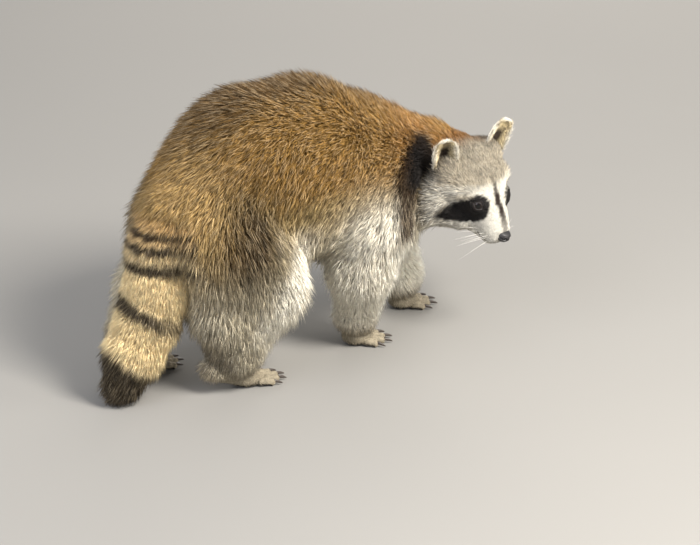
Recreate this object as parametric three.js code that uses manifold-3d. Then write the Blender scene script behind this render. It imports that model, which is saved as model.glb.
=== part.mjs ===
// Adult raccoon as a still, life-size model: it stands with its back arched, its tail hanging to the
// floor behind it, and its head lowered and turned to its right.
// Millimetres. +X is where the hips point, +Y is the animal's left, +Z is up, and the floor is z = 0.
// Every solid of flesh reaches out to the tips of the coat.
import * as THREE from "three";
import Module from "manifold-3d";
import { mergeVertices } from "three/addons/utils/BufferGeometryUtils.js";

const wasm = await Module();
wasm.setup();

// ---- driving dimensions ----
const gap = 0.4; // between two solids that meet
const carve = 1.5; // round the head and the tail, where other flesh closes on them
const midline = 56; // the spine's y over the hips
const bodyBlend = 34; // how softly limbs run into the trunk
const headBlend = 16;

const eyeRadius = 8.6;
const eyeProud = 2.6; // how far an eyeball stands out of the fur
const earHeight = 39;
const earHalfWidth = 18.5;
const earThickness = 4.6;
const headYaw = -85; // degrees, against the hips
const headPitch = 26; // degrees, nose down

const v = (x, y, z) => new THREE.Vector3(x, y, z);
const degrees = THREE.MathUtils.degToRad;

// ---- signed distance fields ----

// A cone with a ball at each end.
function taper(a, b, radiusA, radiusB) {
  const length = a.distanceTo(b);
  const along = b.clone().sub(a).divideScalar(length);
  const sine = (radiusA - radiusB) / length;
  const cosine = Math.sqrt(1 - sine * sine);
  return (p) => {
    const d = p.clone().sub(a);
    const x = d.dot(along);
    const r = Math.sqrt(Math.max(0, d.lengthSq() - x * x));
    const k = x * cosine - r * sine;
    if (k < 0) return Math.hypot(r, x) - radiusA;
    if (k > length * cosine) return Math.hypot(r, x - length) - radiusB;
    return r * cosine + x * sine - radiusA;
  };
}

function ellipsoid(centre, radii) {
  return (p) => {
    const d = p.clone().sub(centre).divide(radii);
    const k = d.length();
    if (k < 1e-6) return -Math.min(radii.x, radii.y, radii.z);
    return (k * (k - 1)) / d.divide(radii).length();
  };
}

function blend(width, ...fields) {
  return (p) =>
    fields
      .map((field) => field(p))
      .reduce((a, b) => {
        const h = Math.max(width - Math.abs(a - b), 0) / width;
        return Math.min(a, b) - (h * h * width) / 4;
      });
}

// Tapers through joints, each {at, r}.
function chain(width, joints) {
  const parts = joints
    .slice(1)
    .map((joint, i) => taper(joints[i].at, joint.at, joints[i].r, joint.r));
  return blend(width, ...parts);
}

function inFrame(matrix, field) {
  const inverse = matrix.clone().invert();
  return (p) => field(p.clone().applyMatrix4(inverse));
}

const slopeStep = 0.5;

function slope(field, p) {
  const d = v(0, 0, 0);
  for (const axis of ["x", "y", "z"]) {
    const step = v(0, 0, 0);
    step[axis] = slopeStep;
    d[axis] = field(p.clone().add(step)) - field(p.clone().sub(step));
  }
  return d.divideScalar(2 * slopeStep);
}

function dropOnto(field, p) {
  const d = slope(field, p);
  return p.addScaledVector(d, -field(p) / Math.max(d.lengthSq(), 0.2));
}

// ---- a closed surface of a field inside a box: one vertex in each cell that the surface crosses ----

function surfaceOf(field, box, step) {
  const inner = box.clone().expandByScalar(-1.3 * step);
  const boxed = (p) =>
    Math.max(
      field(p),
      inner.min.x - p.x,
      inner.min.y - p.y,
      inner.min.z - p.z,
      p.x - inner.max.x,
      p.y - inner.max.y,
      p.z - inner.max.z,
    );
  const size = box.getSize(v(0, 0, 0));
  const [nx, ny, nz] = size.toArray().map((s) => Math.ceil(s / step) + 1);
  const pointAt = (i, j, k) => v(i, j, k).multiplyScalar(step).add(box.min);
  const indexOf = (i, j, k) => i + nx * (j + ny * k);
  const value = new Float32Array(nx * ny * nz);
  for (let k = 0; k < nz; k++)
    for (let j = 0; j < ny; j++)
      for (let i = 0; i < nx; i++) value[indexOf(i, j, k)] = boxed(pointAt(i, j, k));

  const corners = [0, 1, 2, 3, 4, 5, 6, 7].map((c) => [c & 1, (c >> 1) & 1, c >> 2]);
  const cellVertex = new Map();
  const vertices = [];
  for (let k = 0; k < nz - 1; k++)
    for (let j = 0; j < ny - 1; j++)
      for (let i = 0; i < nx - 1; i++) {
        const sum = v(0, 0, 0);
        let crossings = 0;
        corners.forEach(([a, b, c], from) => {
          for (const bit of [1, 2, 4]) {
            if (from & bit) continue;
            const [d, e, f] = corners[from | bit];
            const low = value[indexOf(i + a, j + b, k + c)];
            const high = value[indexOf(i + d, j + e, k + f)];
            if (low < 0 === high < 0) continue;
            const start = pointAt(i + a, j + b, k + c);
            sum.add(start.lerp(pointAt(i + d, j + e, k + f), low / (low - high)));
            crossings++;
          }
        });
        if (!crossings) continue;
        cellVertex.set(indexOf(i, j, k), vertices.length);
        vertices.push(sum.divideScalar(crossings));
      }

  // Each grid edge that crosses the surface makes one four-sided face round it.
  const quads = [];
  const axes = [v(1, 0, 0), v(0, 1, 0), v(0, 0, 1)];
  for (let k = 1; k < nz - 1; k++)
    for (let j = 1; j < ny - 1; j++)
      for (let i = 1; i < nx - 1; i++)
        axes.forEach((axis, n) => {
          const here = value[indexOf(i, j, k)] < 0;
          const next = value[indexOf(i + axis.x, j + axis.y, k + axis.z)] < 0;
          if (here === next) return;
          const s = axes[(n + 1) % 3];
          const t = axes[(n + 2) % 3];
          const cell = (a, b) =>
            cellVertex.get(
              indexOf(i - a * s.x - b * t.x, j - a * s.y - b * t.y, k - a * s.z - b * t.z),
            );
          const round = [cell(0, 0), cell(1, 0), cell(1, 1), cell(0, 1)];
          quads.push(here ? round : round.reverse());
        });

  relax(vertices, quads, boxed);
  const triangles = quads.flatMap(([a, b, c, d]) =>
    vertices[a].distanceTo(vertices[c]) < vertices[b].distanceTo(vertices[d])
      ? [a, b, c, a, c, d]
      : [a, b, d, b, c, d],
  );
  return solidFrom(vertices, triangles);
}

// Evens out the faces and sets every vertex back onto the field.
function relax(vertices, quads, field) {
  const neighbours = vertices.map(() => new Set());
  for (const quad of quads)
    quad.forEach((a, n) => {
      const b = quad[(n + 1) % 4];
      neighbours[a].add(b);
      neighbours[b].add(a);
    });
  for (let round = 0; round < 3; round++) {
    const moved = vertices.map((p, n) => {
      const mean = v(0, 0, 0);
      neighbours[n].forEach((m) => mean.add(vertices[m]));
      return p.clone().lerp(mean.divideScalar(neighbours[n].size), 0.45);
    });
    moved.forEach((p, n) => vertices[n].copy(dropOnto(field, dropOnto(field, p))));
  }
}

// ---- solids ----

function solidFrom(vertices, triangles) {
  return new wasm.Manifold(
    new wasm.Mesh({
      numProp: 3,
      vertProperties: new Float32Array(vertices.flatMap((p) => p.toArray())),
      triVerts: new Uint32Array(triangles),
    }),
  );
}

function solidOf(geometry) {
  const bare = geometry.clone();
  bare.deleteAttribute("normal");
  bare.deleteAttribute("uv");
  const merged = mergeVertices(bare, 1e-4);
  return new wasm.Manifold(
    new wasm.Mesh({
      numProp: 3,
      vertProperties: merged.attributes.position.array,
      triVerts: new Uint32Array(merged.index.array),
    }),
  );
}

// A block with one face on a plane: it fills the side that the direction points to.
function blockBeyond(point, direction, along, across, depth, back = 0) {
  const z = direction.clone().normalize();
  const x = v(1, 0, 0).addScaledVector(z, -z.x);
  if (x.length() < 0.3) x.set(0, 1, 0).addScaledVector(z, -z.y);
  x.normalize();
  const y = z.clone().cross(x);
  const place = new THREE.Matrix4().makeBasis(x, y, z);
  place.setPosition(point.clone().addScaledVector(z, -back));
  const box = new THREE.BoxGeometry(along, across, depth).translate(0, 0, depth / 2);
  return solidOf(box.applyMatrix4(place));
}

const floorBlock = blockBeyond(v(0, 0, 0), v(0, 0, -1), 2000, 2000, 60);

// ---- the pose ----

const spine = [
  { at: v(-52, midline, 208), r: 74 },
  { at: v(-14, midline + 1, 230), r: 87 },
  { at: v(37, midline + 3, 247), r: 106 },
  { at: v(106, midline + 1, 239), r: 110 },
  { at: v(164, midline - 6, 214), r: 95 },
  { at: v(196, midline - 16, 178), r: 78 },
];
const neckJoints = [
  { at: v(190, 46, 220), r: 81 },
  { at: v(268, 6, 222), r: 52 },
];
const tailJoints = [
  { at: v(-84, 56, 222), r: 46 },
  { at: v(-109, 54, 182), r: 45 },
  { at: v(-118, 53, 137), r: 44 },
  { at: v(-132, 53, 98), r: 43 },
  { at: v(-152, 53, 63), r: 38 },
  { at: v(-170, 54, 27), r: 28.5 },
];

// Each limb's joints from the trunk down, its cuts, and where its foot points, in degrees.
const limbs = {
  hind_right: {
    joints: [
      { at: v(-42, 8, 184), r: 70 },
      { at: v(-4, -10, 128), r: 52 },
      { at: v(-38, 1, 54), r: 33 },
    ],
    calf: { at: v(-52, 3, 106), r: 45 },
    top: { at: v(-28, -2, 158), to: v(0.05, -0.5, -0.86) },
    middle: { at: v(-22, -5, 92), to: v(-0.3, 0.1, -1) },
    bottom: { at: v(-42, 0, 42), to: v(-0.1, 0, -1) },
    foot: v(-10, 0, 0),
    heading: -9,
    hind: true,
  },
  hind_left: {
    joints: [
      { at: v(-38, 94, 184), r: 66 },
      { at: v(-32, 120, 128), r: 50 },
      { at: v(-106, 117, 53), r: 32 },
    ],
    calf: { at: v(-76, 117, 106), r: 42 },
    top: { at: v(-40, 108, 158), to: v(0.05, 0.5, -0.86) },
    middle: { at: v(-66, 117, 92), to: v(-0.5, -0.1, -1) },
    bottom: { at: v(-108, 116, 42), to: v(-0.1, 0, -1) },
    foot: v(-76, 114, 0),
    heading: 8,
    hind: true,
  },
  front_right: {
    joints: [
      { at: v(164, -8, 170), r: 55 },
      { at: v(151, -8, 112), r: 41 },
      { at: v(162, 10, 42), r: 24 },
    ],
    top: { at: v(162, -14, 134), to: v(0, -0.72, -0.7) },
    middle: { at: v(153, -3, 88), to: v(0.1, 0.25, -1) },
    bottom: { at: v(163, 11, 32), to: v(0.1, 0, -1) },
    foot: v(167, 14, 0),
    heading: -22,
    hind: false,
  },
  front_left: {
    joints: [
      { at: v(212, 82, 170), r: 56 },
      { at: v(254, 84, 112), r: 43 },
      { at: v(284, 72, 48), r: 28 },
    ],
    top: { at: v(228, 92, 134), to: v(0.15, 0.66, -0.7) },
    middle: { at: v(262, 82, 88), to: v(0.4, -0.2, -1) },
    bottom: { at: v(286, 70, 32), to: v(0.1, 0, -1) },
    foot: v(288, 67, 0),
    heading: -14,
    hind: false,
  },
};

// ---- the head, in its own frame: +X to the nose, +Y its left, +Z up through the crown ----

const headFrame = new THREE.Matrix4()
  .makeTranslation(286, -44, 209)
  .multiply(new THREE.Matrix4().makeRotationZ(degrees(headYaw)))
  .multiply(new THREE.Matrix4().makeRotationY(degrees(headPitch)));
const muzzleTip = 87; // where the nose pad starts
const sides = { right: -1, left: 1 };

function headField() {
  const ruff = (side) => taper(v(2, side * 49, -10), v(7, side * 61, -36), 30, 24);
  const jowl = (side) => taper(v(4, side * 40, -36), v(34, side * 21, -31), 27, 19);
  const brow = (side) => taper(v(38, side * 13, 17), v(22, side * 30, 15), 14, 18);
  const earRoot = (side) => ellipsoid(v(-6, side * 38, 26), v(20, 19, 17));
  const whiskerPad = (side) => ellipsoid(v(73, side * 8, -30), v(17, 11, 12));
  return blend(
    headBlend,
    ellipsoid(v(-8, 0, 3), v(60, 54, 46)),
    ruff(-1),
    ruff(1),
    jowl(-1),
    jowl(1),
    brow(-1),
    brow(1),
    earRoot(-1),
    earRoot(1),
    taper(v(28, 0, -3), v(62, 0, -15), 36, 20),
    taper(v(60, 0, -15), v(85, 0, -23), 20, 13),
    whiskerPad(-1),
    whiskerPad(1),
    taper(v(18, 0, -34), v(70, 0, -41), 24, 9.5),
  );
}

const face = headField();
const tailAndRump = blend(22, chain(20, tailJoints), taper(spine[0].at, spine[1].at, 76, 90));
const neck = chain(20, neckJoints);
const body = blend(
  bodyBlend,
  chain(24, spine),
  ...Object.values(limbs).map(limbField),
);
const wholeBody = blend(bodyBlend, body, neck);

// The flesh of one limb down to the ankle; a hind leg is deeper at the back, where its fur hangs.
function limbField({ joints, calf }) {
  const main = chain(20, joints);
  return calf ? blend(20, main, chain(20, [joints[0], calf, joints[2]])) : main;
}

const core = blend(bodyBlend, chain(24, spine), neck); // without the limbs

// ---- cuts ----

const headCut = { at: v(281, -8, 205), to: v(0.32, -0.94, -0.1) };
const neckCut = { at: v(238, 10, 206), to: v(0.72, -0.69, 0.05) };
const tailCut = { at: v(-105, 55, 196), to: v(-0.62, 0, -0.78) };

const headBlock = (back) => blockBeyond(headCut.at, headCut.to, 220, 220, 260, back);
const neckBlock = (back) => blockBeyond(neckCut.at, neckCut.to, 180, 190, 120, back);
const tailBlock = (back) => blockBeyond(tailCut.at, tailCut.to, 190, 92, 260, back);
const upperBlock = (limb, back) =>
  blockBeyond(limb.top.at, limb.top.to, limb.hind ? 180 : 146, 126, 240, back);
const lowerBlock = (limb, back) =>
  blockBeyond(limb.middle.at, limb.middle.to, limb.hind ? 150 : 110, 104, 160, back);
const footBlock = (limb, back) =>
  blockBeyond(limb.bottom.at, limb.bottom.to, limb.hind ? 190 : 130, 104, 110, back);

const boxRound = (joints, margin) =>
  new THREE.Box3()
    .setFromPoints(joints.map((joint) => joint.at))
    .expandByScalar(margin);

// ---- materials ----

const finish = (colour, roughness) =>
  new THREE.MeshStandardMaterial({ color: colour, roughness, metalness: 0 });
const coatBrown = finish("#7d6547", 0.95);
const coatGrey = finish("#8f8776", 0.95);
const faceFur = finish("#b3a994", 0.92);
const tailFur = finish("#a98a5c", 0.95);
const earFur = finish("#d8d0c0", 0.9);
const pawFur = finish("#c9bda4", 0.9);
const noseLeather = finish("#1d1a1a", 0.35);
const eyeGloss = finish("#120c08", 0.08);
const clawHorn = finish("#2b2522", 0.45);

const raccoon = new THREE.Group();

function addMesh(name, solid, material) {
  const made = solid.getMesh();
  const geometry = new THREE.BufferGeometry();
  geometry.setAttribute("position", new THREE.BufferAttribute(made.vertProperties, 3));
  geometry.setIndex(new THREE.BufferAttribute(made.triVerts, 1));
  geometry.computeVertexNormals();
  const mesh = new THREE.Mesh(geometry, material);
  mesh.name = name;
  raccoon.add(mesh);
}

// ---- trunk, neck and tail ----

function withoutLimbs(solid) {
  let rest = solid;
  for (const limb of Object.values(limbs)) {
    rest = rest.subtract(upperBlock(limb, gap)).subtract(lowerBlock(limb, gap));
  }
  return rest;
}

function makeTrunk() {
  const box = boxRound(spine, 136);
  box.min.z = 60;
  let solid = withoutLimbs(surfaceOf(wholeBody, box, 28));
  solid = solid.subtract(neckBlock(gap)).subtract(tailBlock(gap));
  solid = solid.subtract(headAndGap).subtract(tailAndGap);
  addMesh("trunk", solid, coatBrown);
}

function makeNeck() {
  const solid = withoutLimbs(
    surfaceOf(wholeBody, boxRound(neckJoints, 118), 20).intersect(neckBlock(0)),
  ).subtract(headAndGap);
  addMesh("neck", solid, coatBrown);
}

const tailWith = (margin) =>
  surfaceOf((p) => tailAndRump(p) - margin, boxRound(tailJoints, 84), 19).intersect(
    tailBlock(Math.min(margin, gap)),
  );
const tailAndGap = tailWith(carve);

function makeTail() {
  addMesh("tail", tailWith(0).subtract(floorBlock), tailFur);
}

// ---- head ----

function inHead(x, y, z) {
  return v(x, y, z).applyMatrix4(headFrame);
}

const headDirection = (x, y, z) => v(x, y, z).transformDirection(headFrame);

// The eyeball's centre: from the middle of the orbit outwards, until it stands as far out as it should.
function eyeCentre(side) {
  const p = v(38, side * 13, 0);
  const outward = v(0.74, side * 0.6, 0.3).normalize();
  while (face(p) < eyeProud - eyeRadius) p.addScaledVector(outward, 0.2);
  return p;
}

const earRootPlane = (side) => ({
  at: inHead(-4, side * 45, 35),
  to: headDirection(-0.13, side * 0.3, 0.95),
});

const headBox = new THREE.Box3(v(-90, -100, -80), v(120, 100, 78));
const headWith = (margin) =>
  surfaceOf((p) => face(p) - margin, headBox, 12)
    .transform(headFrame.toArray())
    .intersect(headBlock(Math.min(margin, gap)));
const headAndGap = headWith(carve);

function makeHead() {
  let solid = headWith(0);
  for (const side of Object.values(sides)) {
    const socket = new THREE.IcosahedronGeometry(eyeRadius + 2 * gap, 1);
    socket.translate(...eyeCentre(side).toArray()).applyMatrix4(headFrame);
    const plane = earRootPlane(side);
    solid = solid
      .subtract(solidOf(socket))
      .subtract(blockBeyond(plane.at, plane.to, 60, 60, 60, gap));
  }
  solid = solid.subtract(
    blockBeyond(inHead(muzzleTip, 0, -22), headDirection(1, 0, 0), 80, 80, 40, gap),
  );
  addMesh("head", solid, faceFur);
}

function makeEyes() {
  for (const [name, side] of Object.entries(sides)) {
    const ball = new THREE.IcosahedronGeometry(eyeRadius, 1);
    ball.translate(...eyeCentre(side).toArray()).applyMatrix4(headFrame);
    addMesh("eye_" + name, solidOf(ball), eyeGloss);
  }
}

function makeNose() {
  const pad = new THREE.SphereGeometry(1, 10, 8).rotateX(Math.PI / 2);
  pad.scale(9.5, 9.5, 8).translate(muzzleTip + 0.5, 0, -22.5);
  const solid = solidOf(pad.applyMatrix4(headFrame)).intersect(
    blockBeyond(inHead(muzzleTip, 0, -22), headDirection(1, 0, 0), 80, 80, 40),
  );
  addMesh("nose", solid, noseLeather);
}

// A cupped shell: two sheets of points, one on each side, sewn round the rim.
function earShell(side) {
  const acrossSteps = 6;
  const upSteps = 5;
  const sheet = (out) => {
    const points = [];
    for (let j = 0; j <= upSteps; j++)
      for (let i = 0; i <= acrossSteps; i++) {
        const up = j / upSteps;
        const across = (2 * i) / acrossSteps - 1;
        const rim = Math.sqrt(Math.max(0, 1 - up ** 3));
        const width = earHalfWidth * (0.88 + 0.24 * up) * Math.max(rim, 0.12);
        const cup = (13 - 7 * up) * (1 - across * across) * Math.max(rim, 0.12);
        const fold = 1 - Math.max(Math.abs(across) ** 4, up ** 6);
        const depth = -cup + 0.5 * out * earThickness * (0.45 + 0.55 * fold);
        points.push(v(depth, across * width, earHeight * (up * 1.12 - 0.12)));
      }
    return points;
  };
  const row = acrossSteps + 1;
  const count = row * (upSteps + 1);
  const triangles = [];
  const quad = (a, b, c, d) => triangles.push(a, b, c, a, c, d);
  for (let j = 0; j < upSteps; j++)
    for (let i = 0; i < acrossSteps; i++) {
      const a = j * row + i;
      quad(a, a + 1, a + row + 1, a + row);
      quad(count + a, count + a + row, count + a + row + 1, count + a + 1);
    }
  const rim = [];
  for (let i = 0; i < acrossSteps; i++) rim.push(i);
  for (let j = 0; j < upSteps; j++) rim.push(j * row + acrossSteps);
  for (let i = acrossSteps; i > 0; i--) rim.push(upSteps * row + i);
  for (let j = upSteps; j > 0; j--) rim.push(j * row);
  rim.forEach((a, n) => {
    const b = rim[(n + 1) % rim.length];
    quad(b, a, count + a, count + b);
  });
  const plane = earRootPlane(side);
  const up = plane.to;
  const open = headDirection(1, side > 0 ? -0.3 : -0.4, 0);
  open.addScaledVector(up, -open.dot(up)).normalize();
  const place = new THREE.Matrix4().makeBasis(open, up.clone().cross(open), up);
  place.setPosition(plane.at);
  const points = [...sheet(1), ...sheet(-1)].map((p) => p.applyMatrix4(place));
  return solidFrom(points, triangles);
}

function makeEars() {
  for (const [name, side] of Object.entries(sides)) {
    const plane = earRootPlane(side);
    const solid = earShell(side).intersect(blockBeyond(plane.at, plane.to, 90, 90, 90));
    addMesh("ear_" + name, solid, earFur);
  }
}

// ---- legs and feet ----

const toeSpread = [-2, -1, 0, 1, 2];

function footField(limb) {
  if (!limb.hind) {
    return blend(
      8,
      ellipsoid(v(-2, 0, 9), v(21, 20, 12)),
      taper(v(-6, 0, 12), v(-9, -2, 40), 15, 21),
    );
  }
  return blend(
    10,
    ellipsoid(v(-10, 0, 9), v(24, 19, 12)),
    taper(v(-14, 0, 13), v(-58, 0, 32), 15, 17),
    taper(v(-40, 0, 30), v(-34, 0, 60), 19, 29),
  );
}

const footFrame = (limb) =>
  new THREE.Matrix4()
    .makeTranslation(limb.foot)
    .multiply(new THREE.Matrix4().makeRotationZ(degrees(limb.heading)));

// A toe from its root to its tip, in the foot's frame.
function toeLine(limb, spread) {
  const length = (limb.hind ? 27 : 25) - 2.2 * spread * spread;
  const angle = degrees(spread * (limb.hind ? 9 : 15));
  const root = v((limb.hind ? 4 : 9) - 1.4 * spread * spread, spread * 7.6, 6.2);
  const tip = root.clone().add(v(Math.cos(angle) * length, Math.sin(angle) * length, -1.6));
  return { root, tip };
}

function alongLine(geometry, from, to) {
  const turn = new THREE.Quaternion().setFromUnitVectors(
    v(0, 1, 0),
    to.clone().sub(from).normalize(),
  );
  return geometry.applyQuaternion(turn).translate(...from.toArray());
}

function toeGeometry({ root, tip }) {
  const length = root.distanceTo(tip);
  const profile = [
    [0, -3],
    [5, 1],
    [4.9, length - 3],
    [2.9, length],
    [0, length],
  ].map(([radius, y]) => new THREE.Vector2(radius, y));
  return alongLine(new THREE.LatheGeometry(profile, 5), root, tip);
}

function clawGeometry({ root, tip }) {
  const length = 9.5;
  const profile = [
    [0, 0],
    [2.4, 0],
    [1.8, length * 0.5],
    [0, length],
  ].map(([radius, y]) => new THREE.Vector2(radius, y));
  const direction = tip.clone().sub(root).normalize();
  const start = tip.clone().addScaledVector(direction, gap);
  return alongLine(new THREE.LatheGeometry(profile, 5), start, start.clone().add(direction));
}

function makeLimb(name, limb) {
  const flesh = blend(14, limbField(limb), inFrame(footFrame(limb), footField(limb)));
  const [hip, knee, heel] = limb.joints;

  let upper = surfaceOf(wholeBody, boxRound([hip, knee], 108), 21)
    .intersect(upperBlock(limb, 0))
    .subtract(lowerBlock(limb, gap))
    .subtract(tailAndGap)
    .subtract(headAndGap);
  if (name.endsWith("left")) {
    upper = upper.subtract(upperBlock(limbs[name.replace("left", "right")], gap));
  }
  addMesh("upper_leg_" + name, upper, coatBrown);

  const lower = surfaceOf(blend(bodyBlend, core, flesh), boxRound([knee, heel], 82), 16)
    .intersect(lowerBlock(limb, 0))
    .subtract(footBlock(limb, gap))
    .subtract(tailAndGap);
  addMesh("lower_leg_" + name, lower, coatGrey);

  const frame = footFrame(limb);
  const footBox = boxRound([heel, { at: limb.foot }], 62);
  footBox.min.z = -16;
  let foot = surfaceOf(flesh, footBox, 13).intersect(footBlock(limb, 0));
  toeSpread.forEach((spread, n) => {
    const line = toeLine(limb, spread);
    foot = foot.add(solidOf(toeGeometry(line).applyMatrix4(frame)));
    const claw = solidOf(clawGeometry(line).applyMatrix4(frame));
    addMesh("claw_" + name + "_" + (n + 1), claw, clawHorn);
  });
  addMesh("foot_" + name, foot.subtract(floorBlock), pawFur);
}

makeTrunk();
makeNeck();
makeTail();
makeHead();
makeEyes();
makeNose();
makeEars();
for (const [name, limb] of Object.entries(limbs)) makeLimb(name, limb);

// The origin is on the floor, under the middle of the whole animal.
const extent = new THREE.Box3().setFromObject(raccoon);
const middle = extent.getCenter(v(0, 0, 0));
for (const mesh of raccoon.children) mesh.geometry.translate(-middle.x, -middle.y, 0);

export default raccoon;
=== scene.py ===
import math

import bpy
import numpy as np
from mathutils import Matrix, Vector


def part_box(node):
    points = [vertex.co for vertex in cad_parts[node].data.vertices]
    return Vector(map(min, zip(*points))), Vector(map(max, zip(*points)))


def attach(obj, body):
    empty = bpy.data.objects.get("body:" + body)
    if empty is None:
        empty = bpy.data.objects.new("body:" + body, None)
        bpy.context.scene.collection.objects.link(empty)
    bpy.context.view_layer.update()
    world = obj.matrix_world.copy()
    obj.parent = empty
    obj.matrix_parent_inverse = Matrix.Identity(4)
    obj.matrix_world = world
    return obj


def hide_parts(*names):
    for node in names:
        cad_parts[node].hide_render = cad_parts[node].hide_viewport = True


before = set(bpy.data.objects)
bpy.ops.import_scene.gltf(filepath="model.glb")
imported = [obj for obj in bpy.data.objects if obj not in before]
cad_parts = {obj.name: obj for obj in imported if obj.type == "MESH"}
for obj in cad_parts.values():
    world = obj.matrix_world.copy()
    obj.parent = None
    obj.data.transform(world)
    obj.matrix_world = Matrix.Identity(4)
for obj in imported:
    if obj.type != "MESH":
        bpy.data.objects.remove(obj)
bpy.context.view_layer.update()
print("frame loaded:", len(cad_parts), "nodes")

mm = 0.001
# The animal is laid out in millimetres: x where the hips point, y its left, z up from the floor.
# This is the middle of its box, which is the origin of the finished model.
boxMiddle = np.array([85.5355, 26.3388, 0.0])


def toScene(p):
    return (np.asarray(p, float) - boxMiddle) * mm


def toLayout(p):
    return np.asarray(p, float) / mm + boxMiddle


# ---- small helpers for numbers ----


def unit(a):
    return a / np.maximum(np.linalg.norm(a, axis=-1, keepdims=True), 1e-9)


def smooth(low, high, x):
    t = np.clip((x - low) / (high - low), 0.0, 1.0)
    return t * t * (3 - 2 * t)


def mix(a, b, t):
    t = np.asarray(t, float)
    if np.shape(a)[-1:] == (3,) or np.shape(b)[-1:] == (3,):
        t = t[..., None]
    return a * (1 - t) + b * t


def tint(code):
    c = np.array([int(code[i : i + 2], 16) for i in (1, 3, 5)]) / 255.0
    return np.where(c <= 0.04045, c / 12.92, ((c + 0.055) / 1.055) ** 2.4)


def hump(x, middle, width):
    # 1 in the middle, falling away on both sides
    return np.exp(-(((x - middle) / width) ** 2))


def cloud(p, centre, radii):
    # 1 at the centre of a soft patch, fading outwards
    return np.exp(-(((p - np.array(centre)) / np.array(radii)) ** 2).sum(1))


def waves(p, size, seed):
    # slow uneven ripples between -1 and 1, the same each time
    g = np.random.default_rng(seed)
    total = np.zeros(len(p))
    for octave, strength in ((1.0, 0.5), (2.1, 0.3), (4.3, 0.2)):
        for _ in range(3):
            way = unit(g.normal(size=3)) * (2 * math.pi * octave / size)
            total += strength / 1.7 * np.sin(p @ way + g.uniform(0, 6.28))
    return total


# ---- the body under the coat ----

# Each joint: place, radius out to the coat's tips, depth of the coat, length of its hair.
spine = [
    ((-52, 56, 208), 74, 16, 28),
    ((-14, 57, 230), 87, 17, 29),
    ((37, 59, 247), 106, 20, 30),
    ((106, 57, 239), 110, 19, 29),
    ((164, 50, 214), 95, 14, 28),
    ((196, 40, 178), 78, 15, 28),
]
neck = [((190, 46, 220), 81, 12, 28), ((268, 6, 222), 52, 10, 23)]
tail = [
    ((-84, 56, 222), 46, 15, 22),
    ((-109, 54, 182), 45, 15, 20),
    ((-118, 53, 137), 44, 15, 21),
    ((-132, 53, 98), 43, 15, 23),
    ((-152, 53, 63), 38, 14, 25),
    ((-170, 54, 27), 28.5, 13, 25),
]
limbs = {
    "hindRight": dict(
        main=[((-42, 8, 184), 70, 18, 38), ((-4, -10, 128), 52, 15, 32), ((-38, 1, 54), 33, 9, 17)],
        calf=((-52, 3, 106), 45, 15, 30),
        foot=(-10, 0, 0),
        heading=-9,
        hind=True,
    ),
    "hindLeft": dict(
        main=[((-38, 94, 184), 66, 18, 38), ((-32, 120, 128), 50, 15, 32), ((-106, 117, 53), 32, 9, 17)],
        calf=((-76, 117, 106), 42, 14, 30),
        foot=(-76, 114, 0),
        heading=8,
        hind=True,
    ),
    "frontRight": dict(
        main=[((164, -8, 170), 55, 17, 34), ((151, -8, 112), 41, 13, 28), ((162, 10, 42), 24, 6, 17)],
        calf=None,
        foot=(167, 14, 0),
        heading=-22,
        hind=False,
    ),
    "frontLeft": dict(
        main=[((212, 82, 170), 56, 17, 34), ((254, 84, 112), 43, 13, 28), ((284, 72, 48), 28, 6, 17)],
        calf=None,
        foot=(288, 67, 0),
        heading=-14,
        hind=False,
    ),
}
headPlace = dict(at=(286, -44, 209), yaw=-85, pitch=26)

headTurn = np.array(
    Matrix.Rotation(math.radians(headPlace["yaw"]), 3, "Z")
    @ Matrix.Rotation(math.radians(headPlace["pitch"]), 3, "Y")
)


def toHead(p):
    return (p - np.array(headPlace["at"])) @ headTurn


def fromHead(q):
    return np.asarray(q, float) @ headTurn.T + np.array(headPlace["at"])


def bone(a, b, group, lie=None):
    # one tapered length of the body, from one joint to the next
    start, end = np.array(a[0], float), np.array(b[0], float)
    return dict(
        a=start, b=end, ra=a[1] - a[2], rb=b[1] - b[2], hairA=a[3], hairB=b[3], group=group,
        lie=unit(end - start) if lie is None else unit(np.array(lie, float)),
    )


def chainOf(joints, group, lie=None):
    return [bone(a, b, group, lie) for a, b in zip(joints, joints[1:])]


trunkBones = chainOf(spine, "trunk")
for part in trunkBones:
    part["lie"] = unit(-part["lie"] + np.array([0, 0, -0.5]))
for s in (-1, 1):  # the fold of skin from the thigh to the belly
    fold = [((-6, 57 + s * 66, 162), 42, 16, 28), ((50, 57 + s * 58, 188), 36, 16, 28)]
    trunkBones += chainOf(fold, "trunk", (-0.7, s * 0.1, -0.75))
neckBones = chainOf(neck, "neck")
neckBones[0]["lie"] = unit(-neckBones[0]["lie"] + np.array([0, 0, -0.3]))
tailBones = chainOf(tail, "tail")
limbBones = {}
for name, limb in limbs.items():
    limbBones[name] = chainOf(limb["main"], name)
    if limb["calf"]:
        limbBones[name + "Calf"] = chainOf([limb["main"][0], limb["calf"], limb["main"][2]], name)
everyBone = trunkBones + neckBones + tailBones
for parts in limbBones.values():
    everyBone = everyBone + parts


def along(p, part):
    # signed distance to a tapered bone, and how far along it the nearest place is
    length = np.linalg.norm(part["b"] - part["a"])
    way = (part["b"] - part["a"]) / length
    d = p - part["a"]
    x = d @ way
    r = np.sqrt(np.maximum(0, np.einsum("ij,ij->i", d, d) - x * x))
    sine = (part["ra"] - part["rb"]) / length
    cosine = math.sqrt(max(1e-6, 1 - sine * sine))
    k = x * cosine - r * sine
    side = r * cosine + x * sine - part["ra"]
    near = np.hypot(r, x) - part["ra"]
    far = np.hypot(r, x - length) - part["rb"]
    distance = np.where(k < 0, near, np.where(k > length * cosine, far, side))
    return distance, np.clip(x / length, 0, 1)


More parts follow.
